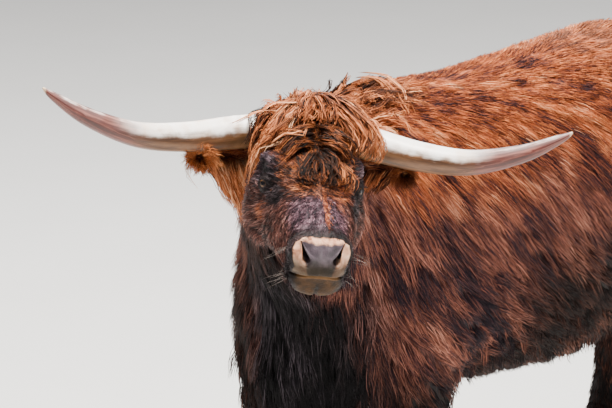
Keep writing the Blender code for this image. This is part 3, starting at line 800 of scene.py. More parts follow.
def shape_eye(local, side):
    """Draws the skin in to the eyeball and rolls it up into lids round an almond opening."""
    sign = SIGN[side]
    folded = local * (sign, 1, 1)
    away = folded - EYE_PLACES["l"]
    distance = np.linalg.norm(away, axis=1)
    way = away / np.maximum(distance, 1e-6)[:, None]
    facing = way @ EYE_AXES[0]
    along = way @ EYE_AXES[1] * EYE_RADIUS / OPENING_LONG
    across = way @ EYE_AXES[2] * EYE_RADIUS / OPENING_HIGH
    across = across / (1.0 - 0.35 * np.clip(along, -1.0, 1.0) ** 2)
    reach = np.where(facing > 0.1, np.hypot(along, across), 9.0)
    target = 0.0120 + 0.0092 * smooth_step(0.86, 1.12, reach) + 0.0015 * smooth_step(1.1, 1.7, reach)
    crease = 0.0018 * np.exp(-(((reach - 1.95) / 0.16) ** 2)) * (across > 0)
    share = smooth_step(3.3, 1.9, reach) * (distance < 0.05)
    moved = distance + (target - distance) * share - crease * (distance < 0.05)
    folded = EYE_PLACES["l"] + way * moved[:, None]
    return np.where((share > 0)[:, None], folded * (sign, 1, 1), local)


def mouth_height(forward, wide=0.0):
    return -0.041 + 0.07 * (forward - 0.465) - 3.6 * wide**2


def shape_muzzle(local, normals):
    """Nostrils with a slit up and outwards, their rims, the mouth's groove, lips and cheek folds."""
    out, forward, up = local.T
    wide = np.abs(out)
    moved = local.copy()
    hole, low = nostril_gap(wide, up)
    front = smooth_step(0.415, 0.44, forward)
    depth = (0.004 + 0.022 * low) * smooth_step(1.20, 0.45, hole)
    outer = wide > NOSTRIL_TOP[0] - (NOSTRIL_TOP[1] - up) * 0.4
    rim = (0.0018 + 0.0022 * outer) * np.exp(-(((hole - 1.75) / 0.55) ** 2))
    line = up - mouth_height(forward, wide)
    moved[:, 1] += front * (rim - depth) - 0.0065 * front * smooth_step(0.002, -0.008, line)
    lips = smooth_step(0.33, 0.39, forward)
    groove = 0.0075 * np.exp(-((line / 0.0030) ** 2))
    swell = 0.0026 * np.exp(-((line / 0.012) ** 2))
    cleft = 0.0045 * np.exp(-((out / 0.0036) ** 2)) * smooth_step(-0.066, -0.078, up) * front
    philtrum = 0.0016 * np.exp(-((out / 0.0035) ** 2)) * smooth_step(-0.046, -0.036, up) * front
    corner = 0.0050 * np.exp(-((line / 0.012) ** 2)) * np.exp(-(((wide - 0.048) / 0.012) ** 2)) * front
    moved += normals * ((swell - groove) * lips - cleft - philtrum - corner)[:, None]
    chin = front * smooth_step(-0.050, -0.072, up) * smooth_step(0.0, 0.025, wide)
    moved[:, 0] += np.sign(out) * 0.008 * chin
    return moved


def melted(flesh):
    """The flesh's solids as one mesh of even cells, with no seam."""
    rough = stand("rough", mesh_of("rough", flesh))
    melt = rough.modifiers.new("Melt", "REMESH")
    melt.mode = "VOXEL"
    melt.voxel_size = SKIN_VOXEL
    graph = bpy.context.evaluated_depsgraph_get()
    bm = bmesh.new()
    bm.from_mesh(bpy.data.meshes.new_from_object(rough.evaluated_get(graph)))
    bpy.data.objects.remove(rough)
    return bm


def draw_in(bm, owner):
    """Draws the skin in from the solids by the coat's depth at each place."""
    ends = np.array([[vert.index for vert in edge.verts] for edge in bm.edges])
    _, back, height = to_body(vertex_places(bm)).T
    depth = np.array([FLESH[node][0] for node in NODES])[owner]
    depth *= 0.25 + 0.75 * smooth_step(0.13, 0.24, height)
    depth *= 1.0 - 0.55 * smooth_step(1.00, 1.10, height) * smooth_step(-0.30, -0.10, back)
    bare = smooth_step(0.40, 0.44, to_head(vertex_places(bm))[:, 1])
    depth = depth * (1 - bare) + 0.0015 * bare
    depth = spread(depth, ends, len(bm.verts), 30)
    bm.normal_update()
    for vert, inset in zip(bm.verts, depth):
        vert.co -= vert.normal * float(inset)


def shape_head(bm):
    """Gives the head its nostrils, mouth and eyelids."""
    bm.normal_update()
    local = to_head(vertex_places(bm))
    normals = np.array([vert.normal for vert in bm.verts]) @ np.array(HEAD_SPIN) * (1, -1, 1)
    local = np.where(near_head(local)[:, None], shape_muzzle(local, normals), local)
    for side in "lr":
        local = shape_eye(local, side)
    for vert, place in zip(bm.verts, from_head(local)):
        vert.co = Vector(place)
    for side in "lr":
        add_lids(bm, side)
        add_ear(bm, side)


def build_skin(material):
    """One skin over all the flesh, inside the solids by the coat's depth."""
    flesh, owners = flesh_bmesh()
    outside = BVHTree.FromBMesh(flesh)
    bm = melted(flesh)
    soften(bm, bm.verts, 6)
    for vert in refine(bm, near_head) + [vert for vert in bm.verts if vert.co.z < PASTERN_TOP]:
        vert.co = outside.find_nearest(vert.co)[0]
    soften(bm, bm.verts, 3)
    soften(bm, refine(bm, detail_test(0.055, 0.37, 0.14)), 2)
    bm.verts.ensure_lookup_table()
    draw_in(bm, np.array([owners[outside.find_nearest(vert.co)[2]] for vert in bm.verts]))
    soften(bm, bm.verts, 2)
    soften(bm, refine(bm, detail_test(0.042, 0.395, 0.13)), 1)
    refine(bm, near_nostril)
    shape_head(bm)
    bmesh.ops.triangulate(bm, faces=bm.faces)
    places = vertex_places(bm)
    mesh = bpy.data.meshes.new("skin")
    bm.to_mesh(mesh)
    bm.free()
    add_value(mesh, "lie", lie_place(places))
    add_piece("skin", mesh, material, NODES + ["ear_l", "ear_r"])
    return mesh, outside, owners


def eye_ring(turn, reach):
    """Directions from the left eye's middle to its opening's edge, or to a ring `reach` as wide."""
    along = OPENING_LONG * np.cos(turn) * reach
    across = OPENING_HIGH * np.sin(turn) * reach * (1.0 - 0.35 * np.cos(turn) ** 2)
    outward = np.sqrt(np.maximum(EYE_RADIUS**2 - along**2 - across**2, 1e-6))
    way = np.outer(along, EYE_AXES[1]) + np.outer(across, EYE_AXES[2]) + np.outer(outward, EYE_AXES[0])
    return unit(way)


def add_lids(bm, side):
    """A smooth roll of skin round the eye's opening, from under the ball's edge to the lid's back."""
    mirrored = (SIGN[side], 1, 1)
    angles = np.arange(40) * 2 * math.pi / 40
    left = [EYE_PLACES["l"] + eye_ring(angles, reach) * radius for reach, radius in LID_ROLL]
    rings = [from_head(places * mirrored) for places in left]
    before = set(bm.faces)
    loft(bm, rings, close=False)
    middle = Vector(from_head(EYE_PLACES[side]))
    lids = [face for face in bm.faces if face not in before]
    turned = [face for face in lids if face.normal.dot(face.calc_center_median() - middle) < 0]
    bmesh.ops.reverse_faces(bm, faces=turned)


def ear_leaf(rows, turn):
    """Places on the left ear's cupped leaf, each by a row of its table and a turn round it."""
    out, forward, up, high, thick = rows.T
    rise = np.cos(turn) * high
    fore = np.sin(turn) * thick * 0.5 + (rise / high) ** 2 * high * EAR_CUP
    return np.stack([out, forward + fore, up + rise], axis=1)


def add_ear(bm, side):
    """A leaf of gristle, hollow towards the front and below."""
    angles = np.arange(24) * 2 * math.pi / 24
    before = set(bm.faces)
    leaves = [ear_leaf(np.tile(row, (24, 1)), angles) * (SIGN[side], 1, 1) for row in curve(EAR, 4)]
    loft(bm, [from_head(leaf) for leaf in leaves])
    bmesh.ops.recalc_face_normals(bm, faces=[face for face in bm.faces if face not in before])


# --- The coat


def rows_of(items, name, kind=float):
    """What each of a mesh's parts carries, in rows of three."""
    values = np.empty(len(items) * 3, kind)
    items.foreach_get(name, values)
    return values.reshape(-1, 3)


class Ground:
    """The skin that hair grows from: its places, facing, and the nearest point of it to any other."""

    def __init__(self, mesh):
        mesh.calc_loop_triangles()
        self.places = rows_of(mesh.vertices, "co")
        self.facing = rows_of(mesh.vertices, "normal")
        self.corners = rows_of(mesh.loop_triangles, "vertices", np.int32)
        self.tree = BVHTree.FromPolygons(self.places.tolist(), self.corners.tolist())

    def nearest(self, points):
        """The nearest places of the skin, and the way it faces there."""
        found = [self.tree.find_nearest(point) for point in points.tolist()]
        corners = self.corners[[hit[2] for hit in found]]
        return np.array([hit[0] for hit in found]), unit(self.facing[corners].mean(axis=1))

    def scatter(self, chosen, spacing, draw):
        """Roots over the chosen triangles, one to each cell of a grid as wide as their spacing."""
        a, b, c = self.places[self.corners[chosen]].transpose(1, 0, 2)
        areas = np.linalg.norm(np.cross(b - a, c - a), axis=1) / 2
        count = int(areas.sum() / spacing**2 * 7)
        picks = draw.choice(len(chosen), count, p=areas / areas.sum())
        first, second = draw.random((2, count, 1))
        flip = first + second > 1
        first, second = np.where(flip, 1 - first, first), np.where(flip, 1 - second, second)
        roots = a[picks] + (b - a)[picks] * first + (c - a)[picks] * second
        cells = np.floor(roots / (spacing * CELL) + draw.random(3)).astype(np.int64)
        _, kept = np.unique(cells, axis=0, return_index=True)
        kept = draw.permutation(kept)
        facing = unit(self.facing[self.corners[chosen[picks[kept]]]].mean(axis=1))
        return roots[kept], facing


def lie_of_coat(points):
    """The way the hair runs: back and down over the trunk, down the legs and chest, off the whorl."""
    across, back, height = to_body(points).T
    local = to_head(points)
    out, forward, up = local.T
    side = np.tanh(across / 0.06)
    one = np.ones_like(side)
    steep = 0.75 + 0.60 * smooth_step(1.14, 1.00, height) - 0.40 * smooth_step(0.86, 0.70, height)
    trunk = np.stack([0.30 * side, one, -steep], axis=1)
    neck = np.stack([0.1 * side - 0.10, 0.62 * one, -0.95 * one], axis=1)
    chest = np.stack([0.1 * side, 0.25 * one, -one], axis=1)
    way = blend(unit(trunk), unit(neck), smooth_step(0.10, -0.14, back))
    way = blend(way, unit(chest), smooth_step(0.02, -0.20, back) * smooth_step(0.98, 0.78, height))
    way = blend(way, unit(np.array((0.0, 0.16, -1.0))), smooth_step(0.56, 0.42, height))
    hock = smooth_step(1.02, 1.18, back) * smooth_step(0.5, 0.6, height)
    way = unit(blend(way, np.array((0.0, 0.15, -1.0)), hock))
    fan = unit((local - WHORL) * (1.35, 1.0, 0.9) + (0.0, 0.004, 0.0))
    outwards = np.stack([np.sign(out), -0.35 * one, (up + 0.02) * 10], axis=1)
    lips = smooth_step(0.385, 0.42, forward) * smooth_step(0.025, 0.045, np.abs(out))
    fan = blend(fan, unit(outwards), lips)
    swirl = np.sin(points @ (31.0, 17.0, 9.0)) * 0.5 + np.sin(points @ (-13.0, 23.0, 37.0)) * 0.5
    curl = np.sin(points @ (71.0, 53.0, 97.0)) * smooth_step(0.88, 0.70, height)
    sideways = np.cross(way, (0.0, 0.0, 1.0)) * (0.16 * swirl)[:, None]
    way = way + sideways + np.outer(swirl * 0.10 + curl * 0.30, (0.0, 0.0, 1.0))
    on_head = smooth_step(-0.10, -0.02, forward) * smooth_step(0.40, 0.34, off_face(local))
    return unit(blend(way, head_way(fan), on_head))


def lie_place(points):
    """A place told across the hair's lie, through the body, and a quarter as fast along the hair."""
    side, back, height = to_body(points).T
    heights = np.linspace(0.0, 1.3, 131)
    steep = 0.80 + 0.60 * smooth_step(1.14, 1.00, heights) + 6.0 * smooth_step(0.62, 0.40, heights)
    shift = np.concatenate([[0.0], np.cumsum(0.01 / steep[:-1])])
    trunk = np.stack([back + np.interp(height, heights, shift), side, 0.20 * (back - height)], axis=1)
    local = to_head(points)
    away = (local - WHORL) * (1.0, 0.8, 1.0) + (0.0, 0.0, 0.02)
    fan = unit(away) * 0.60 + np.linalg.norm(away, axis=1, keepdims=True) * (0.8, 0.0, 0.0)
    on_head = smooth_step(-0.10, -0.06, local[:, 1]) * smooth_step(0.36, 0.33, off_face(local))
    return blend(trunk, fan, on_head)


def comb(ground, grown, lengths, heights, cling, droop, stations, aim=None):
    """Centre lines of locks that start at the roots and lie along the skin, or hang from it."""
    place, normal = grown
    line = [place - normal * 0.003]
    for share in np.arange(1, stations) / (stations - 1):
        way = lie_of_coat(place) if aim is None else aim
        way = unit(way - normal * np.sum(way * normal, axis=1, keepdims=True))
        pull = np.clip(np.reshape(droop * share * 1.6, (-1, 1)), 0, 1)
        way = unit(way * (1 - pull) + DOWN * pull)
        ahead = place + way * (lengths / (stations - 1))[:, None]
        near, normal = ground.nearest(ahead)
        gap = np.sum((ahead - near) * normal, axis=1)
        rise = heights * (1 - (1 - share) ** 1.8)
        wanted = np.where(gap < rise * 0.4, rise, gap * (1 - cling) + rise * cling)
        place = ahead + normal * (wanted - gap)[:, None]
        line.append(place)
    return np.stack(line, axis=1)


def along_lines(lines, shares):
    """Places at the given shares of each line's length. lines (n, k, 3), shares (n, m)."""
    steps = shares * (lines.shape[1] - 1)
    low = np.clip(np.floor(steps).astype(int), 0, lines.shape[1] - 2)
    part = (steps - low)[..., None]
    rows = np.arange(len(lines))[:, None]
    return lines[rows, low] * (1 - part) + lines[rows, low + 1] * part


def lock(lines, facing, each, radius, converge, wave, stations, draw):
    """Splits each centre line into tufts that spread at the root and draw together at the tip."""
    count = len(lines) * each
    owner = np.repeat(np.arange(len(lines)), each)
    radius, wave = (np.broadcast_to(part, len(lines))[owner] for part in (radius, wave))
    angle = draw.random(count) * 2 * math.pi
    reach = np.sqrt(draw.random(count)) * radius
    normal = facing[owner]
    first = unit(np.cross(normal, unit(lines[owner, 1] - lines[owner, 0])))
    second = np.cross(normal, first)
    offset = first * (np.cos(angle) * reach)[:, None] + second * (np.sin(angle) * reach)[:, None]
    length = 0.68 + 0.42 * draw.random(count)
    share = np.linspace(0, 1, stations)[None, :]
    shares = np.minimum(share * length[:, None], 1.0)
    path = along_lines(lines[owner], shares)
    path = path + offset[:, None, :] * (1 - converge * shares**1.3)[..., None]
    lift = (draw.random(count) - 0.5)[:, None] * shares * radius[:, None] * 0.45
    path = path + normal[:, None, :] * lift[..., None]
    swing = np.sin(share * draw.uniform(4.0, 9.0, count)[:, None] + draw.random(count)[:, None] * 6.28)
    path = path + first[:, None, :] * (swing * shares * wave[:, None])[..., None]
    return path, owner


def tuft_faces(middle):
    """Triangles of a three-sided tuft: its root, its rings and its tip."""
    turned = [(corner, (corner + 1) % 3) for corner in range(3)]
    faces = [(0, 1 + d, 1 + c) for c, d in turned]
    for low in range(1, 3 * middle - 2, 3):
        for c, d in turned:
            faces += [(low + c, low + d, low + 3 + d), (low + c, low + 3 + d, low + 3 + c)]
    last = 3 * middle - 2
    return np.array(faces + [(last + c, last + d, last + 3) for c, d in turned])


def knit(name, tufts, flat, axis, material, slot, replaced=()):
    """One mesh of three-sided tufts, pointed at both ends.

    Each tuft has a path, the way its root faces, its root, its chance of a light colour and its
    half width. `flat` is how thick it is beside its width.
    """
    path, facing, root, chance, half_width = tufts
    count, stations, _ = path.shape
    middle = stations - 2
    ends = path[:, 1:2] - path[:, :1], path[:, -1:] - path[:, -2:-1]
    ahead = unit(np.concatenate([ends[0], path[:, 2:] - path[:, :-2], ends[1]], axis=1))
    across = unit(np.cross(ahead, facing[:, None, :]))
    raised = np.cross(across, ahead)
    share = np.linspace(0, 1, stations)[1:-1]
    profile = np.minimum(1.0, 0.55 + 2.0 * share) * np.sqrt(np.clip(1.25 - share, 0, 1))
    width = half_width[:, None] * profile[None, :]
    rings = []
    for corner in range(3):
        turn = math.pi / 2 + corner * 2 * math.pi / 3
        side = across[:, 1:-1] * (width * math.cos(turn))[..., None]
        rings.append(path[:, 1:-1] + side + raised[:, 1:-1] * (width * flat * math.sin(turn))[..., None])
    body = np.stack(rings, axis=2).reshape(count, middle * 3, 3)
    places = np.concatenate([path[:, :1], body, path[:, -1:]], axis=1)
    per = 2 + 3 * middle
    corners = (tuft_faces(middle)[None] + (np.arange(count) * per)[:, None, None]).reshape(-1)
    mesh = bpy.data.meshes.new(name)
    mesh.vertices.add(count * per)
    mesh.vertices.foreach_set("co", places.reshape(-1))
    mesh.loops.add(len(corners))
    mesh.loops.foreach_set("vertex_index", corners.astype(np.int32))
    mesh.polygons.add(len(corners) // 3)
    mesh.polygons.foreach_set("loop_start", np.arange(0, len(corners), 3, dtype=np.int32))
    mesh.update(calc_edges=True)
    way_along = np.concatenate([[0.0], np.repeat(share, 3), [1.0]])
    add_value(mesh, "along", np.tile(way_along, count))
    add_value(mesh, "chance", np.repeat(np.clip(chance, 0, 1), per))
    add_value(mesh, "root", np.repeat(root, per, axis=0))
    add_value(mesh, "lie", np.repeat(lie_place(root), per, axis=0))
    patch_side = np.concatenate([[0.5], np.tile((0.0, 0.5, 1.0), middle), [0.5]])
    patch = np.stack([patch_side, way_along], axis=1) * PATCH
    flat_places = (unwrap_round(path[:, 0], axis)[:, None, :] + patch[None]).reshape(-1, 2)
    layer = mesh.uv_layers.new(name="OFBake")
    layer.uv.foreach_set("vector", flat_places[corners].reshape(-1).astype(np.float32))
    add_piece(name, mesh, material, replaced)


def add_value(mesh, name, values):
    """A number, or a place, that each of the mesh's vertices carries."""
    kind, part = ("FLOAT", "value") if values.ndim == 1 else ("FLOAT_VECTOR", "vector")
    attribute = mesh.attributes.new(name, kind, "POINT")
    attribute.data.foreach_set(part, values.reshape(-1).astype(np.float32))


def unwrap_round(points, axis):
    """Round and along an axis: the skin's shape rolled out flat, fitted to the map's square."""
    axis = unit(np.array(axis, float))
    away = points - points.mean(axis=0)
    reach = away @ axis
    outwards = away - np.outer(reach, axis)
    start = outwards.mean(axis=0) + outwards[0] * 1e-3
    start = unit(np.cross(axis, (0.3, 0.2, 0.9))) if np.linalg.norm(start) < 0.02 else unit(start)
    turn = np.arctan2(away @ np.cross(axis, start), away @ start)
    flat = np.stack([turn, reach], axis=1)
    low, high = flat.min(axis=0), flat.max(axis=0) + 1e-6
    return PATCH + (flat - low) / (high - low) * (1 - 3 * PATCH)


def build_coat(ground, label, materials):
    """Short and long locks over all the flesh, in one piece for each stretch and side of the body."""
    stretches = {}
    for number, node in enumerate(NODES):
        draw = np.random.default_rng(100 + number)
        depth, length, spacing, each, half_width, stations = FLESH[node]
        roots, facing = ground.scatter(np.flatnonzero(label == number), spacing, draw)
        keep = grows_hair(roots)
        roots, facing = roots[keep], facing[keep]
        lengths, heights = hair_length(node, roots, facing, length, depth, draw)
        droop = (0.9 if node == "lower_jaw" else 0.10) * np.minimum(lengths / 0.12, 1.0)
        lines = comb(ground, (roots, facing), lengths, heights, 0.9, droop, 5)
        path, owner = lock(lines, facing, each, spacing * 0.90, 0.30, lengths * 0.06, stations, draw)
        width = half_width * (0.6 + 0.7 * draw.random(len(path)))
        chance = 0.72 * draw.random(len(path)) + 0.28 * draw.random(len(roots))[owner]
        add_stretch(stretches, node, (path, facing[owner], roots[owner], chance, width))
    for name, parts in stretches.items():
        tufts = [np.concatenate(part) for part in zip(*parts)]
        stem = name.split("_")[0]
        if stem in ("face", "jaw"):
            axis, material = FACE_WAY, materials["face"]
        else:
            axis = (0.0, 1.0, 0.0) if stem in ("barrel", "shoulders", "rump") else (0.0, 0.0, 1.0)
            material = materials["coat"]
        knit("coat_" + name, tufts, 0.55, axis, material, "red_coat")


def add_stretch(stretches, node, tufts):
    """Puts the tufts of a node with its stretch of coat, a left and a right one on the trunk."""
    stem = {"head": "face", "muzzle": "face", "lower_jaw": "jaw", "tail_dock": "tail"}.get(node, node)
    if stem not in TRUNK:
        stretches.setdefault(stem, []).append(tufts)
        return
    across, back, _ = to_body(tufts[2]).T
    left = across * 0.55 + (back + 0.25) * 0.30 + 0.03 > 0.08 if stem == "neck" else across > 0.0
    for side, chosen in (("l", left), ("r", ~left)):
        stretches.setdefault(f"{stem}_{side}", []).append([part[chosen] for part in tufts])


def grows_hair(points):
    """Where there is coat at all: not on the nose's leather, the lips' edges, lids or the soles."""
    local = to_head(points)
    folded = np.abs(local[:, 0])
    up, forward = local[:, 2], local[:, 1]
    ups, halves = np.array(LEATHER_EDGE).T
    pad = (folded < np.interp(up, ups, halves) - 0.001) & (forward > 0.405) & (up > ups[0]) & (up < ups[-1])
    away = np.stack([folded, forward, up], axis=1) - EYE_PLACES["l"]
    distance = np.linalg.norm(away, axis=1)
    way = away / distance[:, None]
    reach = np.hypot(way @ EYE_AXES[1] / OPENING_LONG, way @ EYE_AXES[2] / OPENING_HIGH) * EYE_RADIUS
    lid = (distance < 0.03) & (reach < 1.7) & (way @ EYE_AXES[0] > 0)
    return ~(pad | lid)


def hair_length(node, roots, facing, length, depth, draw):
    """How long each lock is, and how far its tip stands off the skin."""
    across, back, high = to_body(roots).T
    local = to_head(roots)
    lengths = length * (0.70 + 0.6 * draw.random(len(roots)))
    heights = depth * (0.30 + 0.75 * draw.random(len(roots)))
    if node in ("head", "lower_jaw", "muzzle"):
        behind = smooth_step(0.20, 0.02, local[:, 1])
        under = smooth_step(0.02, -0.10, local[:, 2])
        whorl = np.exp(-(np.linalg.norm((local - WHORL) / (0.055, 0.028, 0.05), axis=1) ** 2))
        cheek = smooth_step(0.065, 0.09, np.abs(local[:, 0])) * smooth_step(0.34, 0.26, local[:, 1])
        lengths = lengths * (0.75 + 1.0 * behind + 0.6 * under + 0.5 * cheek + 0.4 * whorl)
        heights = heights * (0.40 + 0.7 * behind + 1.4 * under + 0.6 * cheek + 1.1 * whorl)
    if node in TRUNK:
        top = smooth_step(1.00, 1.12, high)
        lengths = lengths * (1.0 - 0.30 * top)
        heights = heights * (1.0 - 0.55 * top * smooth_step(-0.10, 0.05, back))
        heights = heights * (1.0 + 0.9 * smooth_step(0.04, -0.10, across) * smooth_step(0.05, -0.15, back))
    if "leg_lower" in node:
        feather = np.maximum(facing[:, 1], 0.0) * smooth_step(0.26, 0.19, high)
        lengths = lengths * (1.0 + 0.9 * smooth_step(0.14, 0.09, high) + 0.9 * feather)
        heights = heights * (1.0 + 1.3 * feather)
    if "leg_upper" in node:
        lengths = lengths * (1.0 - 0.4 * smooth_step(0.52, 0.38, high))
    return lengths, heights


# --- Long hair


# Guides of the forelock and brow: how many locks, how much paler they are than the rest, and the
# first and the last lock from root to tip, in millimetres of the head's frame.
FORELOCK_GUIDES = {
    "cap_r": (30, 0.20, (
        ((-6, -50, 112), (-10, -10, 130), (-19, 45, 134), (-28, 80, 130), (-40, 108, 118)),
        ((3, -50, 112), (2, -10, 132), (-3, 45, 136), (-10, 80, 132), (-22, 108, 120)),
    )),
    "swag_r": (26, 0.26, (
        ((-27, -10, 116), (-59, 60, 116), (-88, 100, 92), (-110, 115, 56), (-118, 115, -6)),
        ((-10, 10, 124), (-42, 80, 119), (-72, 112, 93), (-98, 122, 60), (-115, 120, 4)),
    )),
    "back_r": (30, -0.42, (
        ((-60, -75, 86), (-78, -40, 94), (-96, 0, 94), (-112, 34, 80), (-120, 52, 52)),
        ((-30, -65, 94), (-56, -20, 102), (-86, 40, 100), (-108, 70, 76), (-116, 80, 34)),
    )),
    "wisps_r": (7, 0.35, (
        ((-20, -20, 118), (-50, 20, 126), (-85, 40, 127), (-118, 50, 126), (-142, 52, 116)),
        ((-24, -10, 120), (-56, 30, 122), (-90, 50, 118), (-120, 58, 108), (-138, 60, 90)),
    )),
    "cap_l": (30, 0.18, (
        ((6, -50, 112), (8, -10, 132), (10, 45, 137), (11, 80, 133), (9, 108, 121)),
        ((22, -50, 112), (27, -10, 133), (32, 45, 138), (37, 80, 134), (36, 108, 123)),
    )),
    "swag_l": (44, 0.18, (
        ((36, -50, 110), (62, 0, 130), (94, 60, 123), (115, 98, 96), (104, 128, 74)),
        ((14, -40, 114), (44, 40, 134), (74, 96, 120), (90, 124, 100), (74, 150, 88)),
    )),
    "hook_l": (26, 0.32, (
        ((70, -60, 104), (104, 0, 113), (138, 36, 92), (158, 46, 60), (142, 58, 36)),
        ((50, -40, 110), (90, 20, 118), (120, 58, 98), (134, 74, 66), (118, 90, 46)),
    )),
    "back_l": (30, -0.35, (
        ((60, -75, 98), (84, -40, 108), (108, 0, 104), (128, 30, 84), (140, 48, 50)),
        ((30, -65, 104), (62, -15, 118), (98, 40, 110), (116, 70, 80), (112, 90, 50)),
    )),
}
BROW_GUIDES = {
    "arch_r": (44, -0.02, (
        ((1, 85, 112), (-20, 102, 116), (-44, 118, 108), (-62, 132, 90), (-74, 148, 68)),
        ((1, 140, 90), (-21, 150, 98), (-41, 160, 92), (-57, 172, 75), (-66, 184, 53)),
    )),
    "arch_l": (44, -0.12, (
        ((17, 85, 113), (38, 100, 117), (58, 114, 110), (74, 130, 96), (86, 148, 78)),
        ((16, 140, 90), (34, 150, 100), (53, 160, 96), (70, 170, 86), (80, 180, 66)),
    )),
    "mid_r": (38, -0.20, (
        ((4, 160, 86), (-16, 192, 80), (-32, 222, 73), (-38, 248, 68), (-24, 268, 66)),
        ((6, 190, 80), (-4, 216, 76), (-12, 240, 72), (-12, 262, 68), (0, 276, 66)),
    )),
    "mid_l": (34, -0.32, (
        ((12, 160, 86), (30, 192, 80), (44, 220, 73), (46, 248, 67), (30, 270, 65)),
        ((10, 190, 80), (16, 216, 76), (20, 240, 72), (18, 262, 68), (6, 278, 66)),
    )),
    "patch_l": (30, 0.06, (
        ((46, 186, 78), (58, 204, 70), (68, 224, 62), (70, 248, 54), (60, 268, 50)),
        ((36, 196, 80), (46, 214, 73), (53, 234, 67), (52, 256, 60), (42, 276, 56)),
    )),
}


# Long pale strands that fall from the poll over the cow's left of the neck.
MANE_GUIDES = {
    "strands": (9, 0.42, (
        ((181, -605, -55), (232, -599, -51), (267, -563, -54), (284, -514, -63), (295, -466, -76)),
        ((170, -580, -52), (214, -574, -49), (241, -547, -53), (257, -505, -63), (269, -459, -74)),
    )),
}


def curtain(ground, name, guides, wander, wave, half_width, stations, seed, *look):
    """Locks that lie between pairs of guides, each wandering a little, and clear of the skin."""
    draw = np.random.default_rng(seed)
    thin = 1.0
    found = []
    lights = []
    for count, light, ends in guides.values():
        first, last = np.array(ends) / 1000
        share = draw.random((int(count * thin), 1, 1))
        lines = first * (1 - share) + last * share
        stretch = 0.66 + 0.42 * draw.random((len(lines), 1, 1))
        lines = lines[:, :1] + (lines - lines[:, :1]) * stretch
        lines += draw.normal(0, 0.005, (len(lines), 1, 3))
        lines += draw.normal(0, wander, lines.shape) * np.array((0.0, 0.5, 0.9, 0.9, 0.7))[None, :, None]
        found += [curve(line, 3) for line in lines]
        lights += [light] * len(lines)
    lines = keep_clear(ground, heads_lines(np.stack(found)), 0.003, 0.014, draw)
    facing = ground.nearest(lines[:, 0])[1]
    path, owner = lock(lines, facing, 7, 0.007, 0.6, wave, stations, draw)
    widths = half_width * (0.6 + 0.7 * draw.random(len(path)))
    chance = 0.60 * draw.random(len(path))
    chance += (0.45 * draw.random(len(lines)) - 0.06 + np.array(lights))[owner]
    knit(name, (path, facing[owner], path[:, 0], chance, widths), 0.8, FACE_WAY, *look)


def heads_lines(lines):
    """Lines out of the head's frame."""
    return from_head(lines.reshape(-1, 3)).reshape(lines.shape)


def build_forelock(ground, materials):
    """The parted forelock, falling over each temple and horn's root, and darker waves on the brow."""
    ginger = (materials["ginger"], "ginger_hair")
    curtain(ground, "forelock_hair", FORELOCK_GUIDES, 0.007, 0.005, 0.0010, 8, 7, *ginger, ["forelock"])
    curtain(ground, "brow_hair", BROW_GUIDES, 0.005, 0.004, 0.0009, 6, 8, materials["brow"], "dark_coat")
    curtain(ground, "mane_strands", MANE_GUIDES, 0.006, 0.004, 0.0010, 8, 9, *ginger)


def off_horn(local):
    """Moves places that lie in a horn out to its surface."""
    table = curve(HORN, 4)
    wide = np.abs(local[:, 0])
    forward, up, radius = (np.interp(wide, table[:, 0], table[:, k]) for k in (1, 2, 3))
    middle = np.stack([forward, up], axis=1)
    away = local[:, 1:] - middle
    distance = np.maximum(np.linalg.norm(away, axis=1), 1e-4)
    inside = (distance < radius + 0.004) & (wide < HORN[-1][0])
    wanted = np.where(inside, radius + 0.005, distance)
    return np.hstack([local[:, :1], middle + away * (wanted / distance)[:, None]])


def keep_clear(ground, lines, least, most, draw):
    """Pushes lines out of the skin, each to a height of its own."""
    count, stations, _ = lines.shape
    flat = lines.reshape(-1, 3)
    near, normal = ground.nearest(flat)
    gap = np.sum((flat - near) * normal, axis=1)
    height = np.repeat(draw.uniform(least, most, count), stations)
    push = np.maximum(height - gap, 0.0)
    return (flat + normal * push[:, None]).reshape(count, stations, 3)


def hang(ground, name, grown, aim, falls, tuft, seed, look, wave=0.05, cling=0.0):
    """Long hair that sets off along `aim` from its roots and falls, by its lengths, heights, droop."""
    draw = np.random.default_rng(seed)
    roots, facing = grown
    lengths, heights, droop = falls
    each, radius, half_width, stations = tuft
    lines = comb(ground, grown, lengths, heights, cling, droop, 8, aim)
    path, owner = lock(lines, facing, each, radius, 0.7, lengths * wave, stations, draw)
    widths = half_width * (0.7 + 0.6 * draw.random(len(path)))
    chance = 0.5 * draw.random(len(path)) + 0.5 * draw.random(len(roots))[owner]
    knit(name, (path, facing[owner], roots[owner], chance, widths), 0.8, (0.2, 1.0, 0.1), *look)


# The middle of the ear's hollow in the head's frame, out on the cow's left.
EAR_HOLLOW = (0.207, 0.004, -0.010)


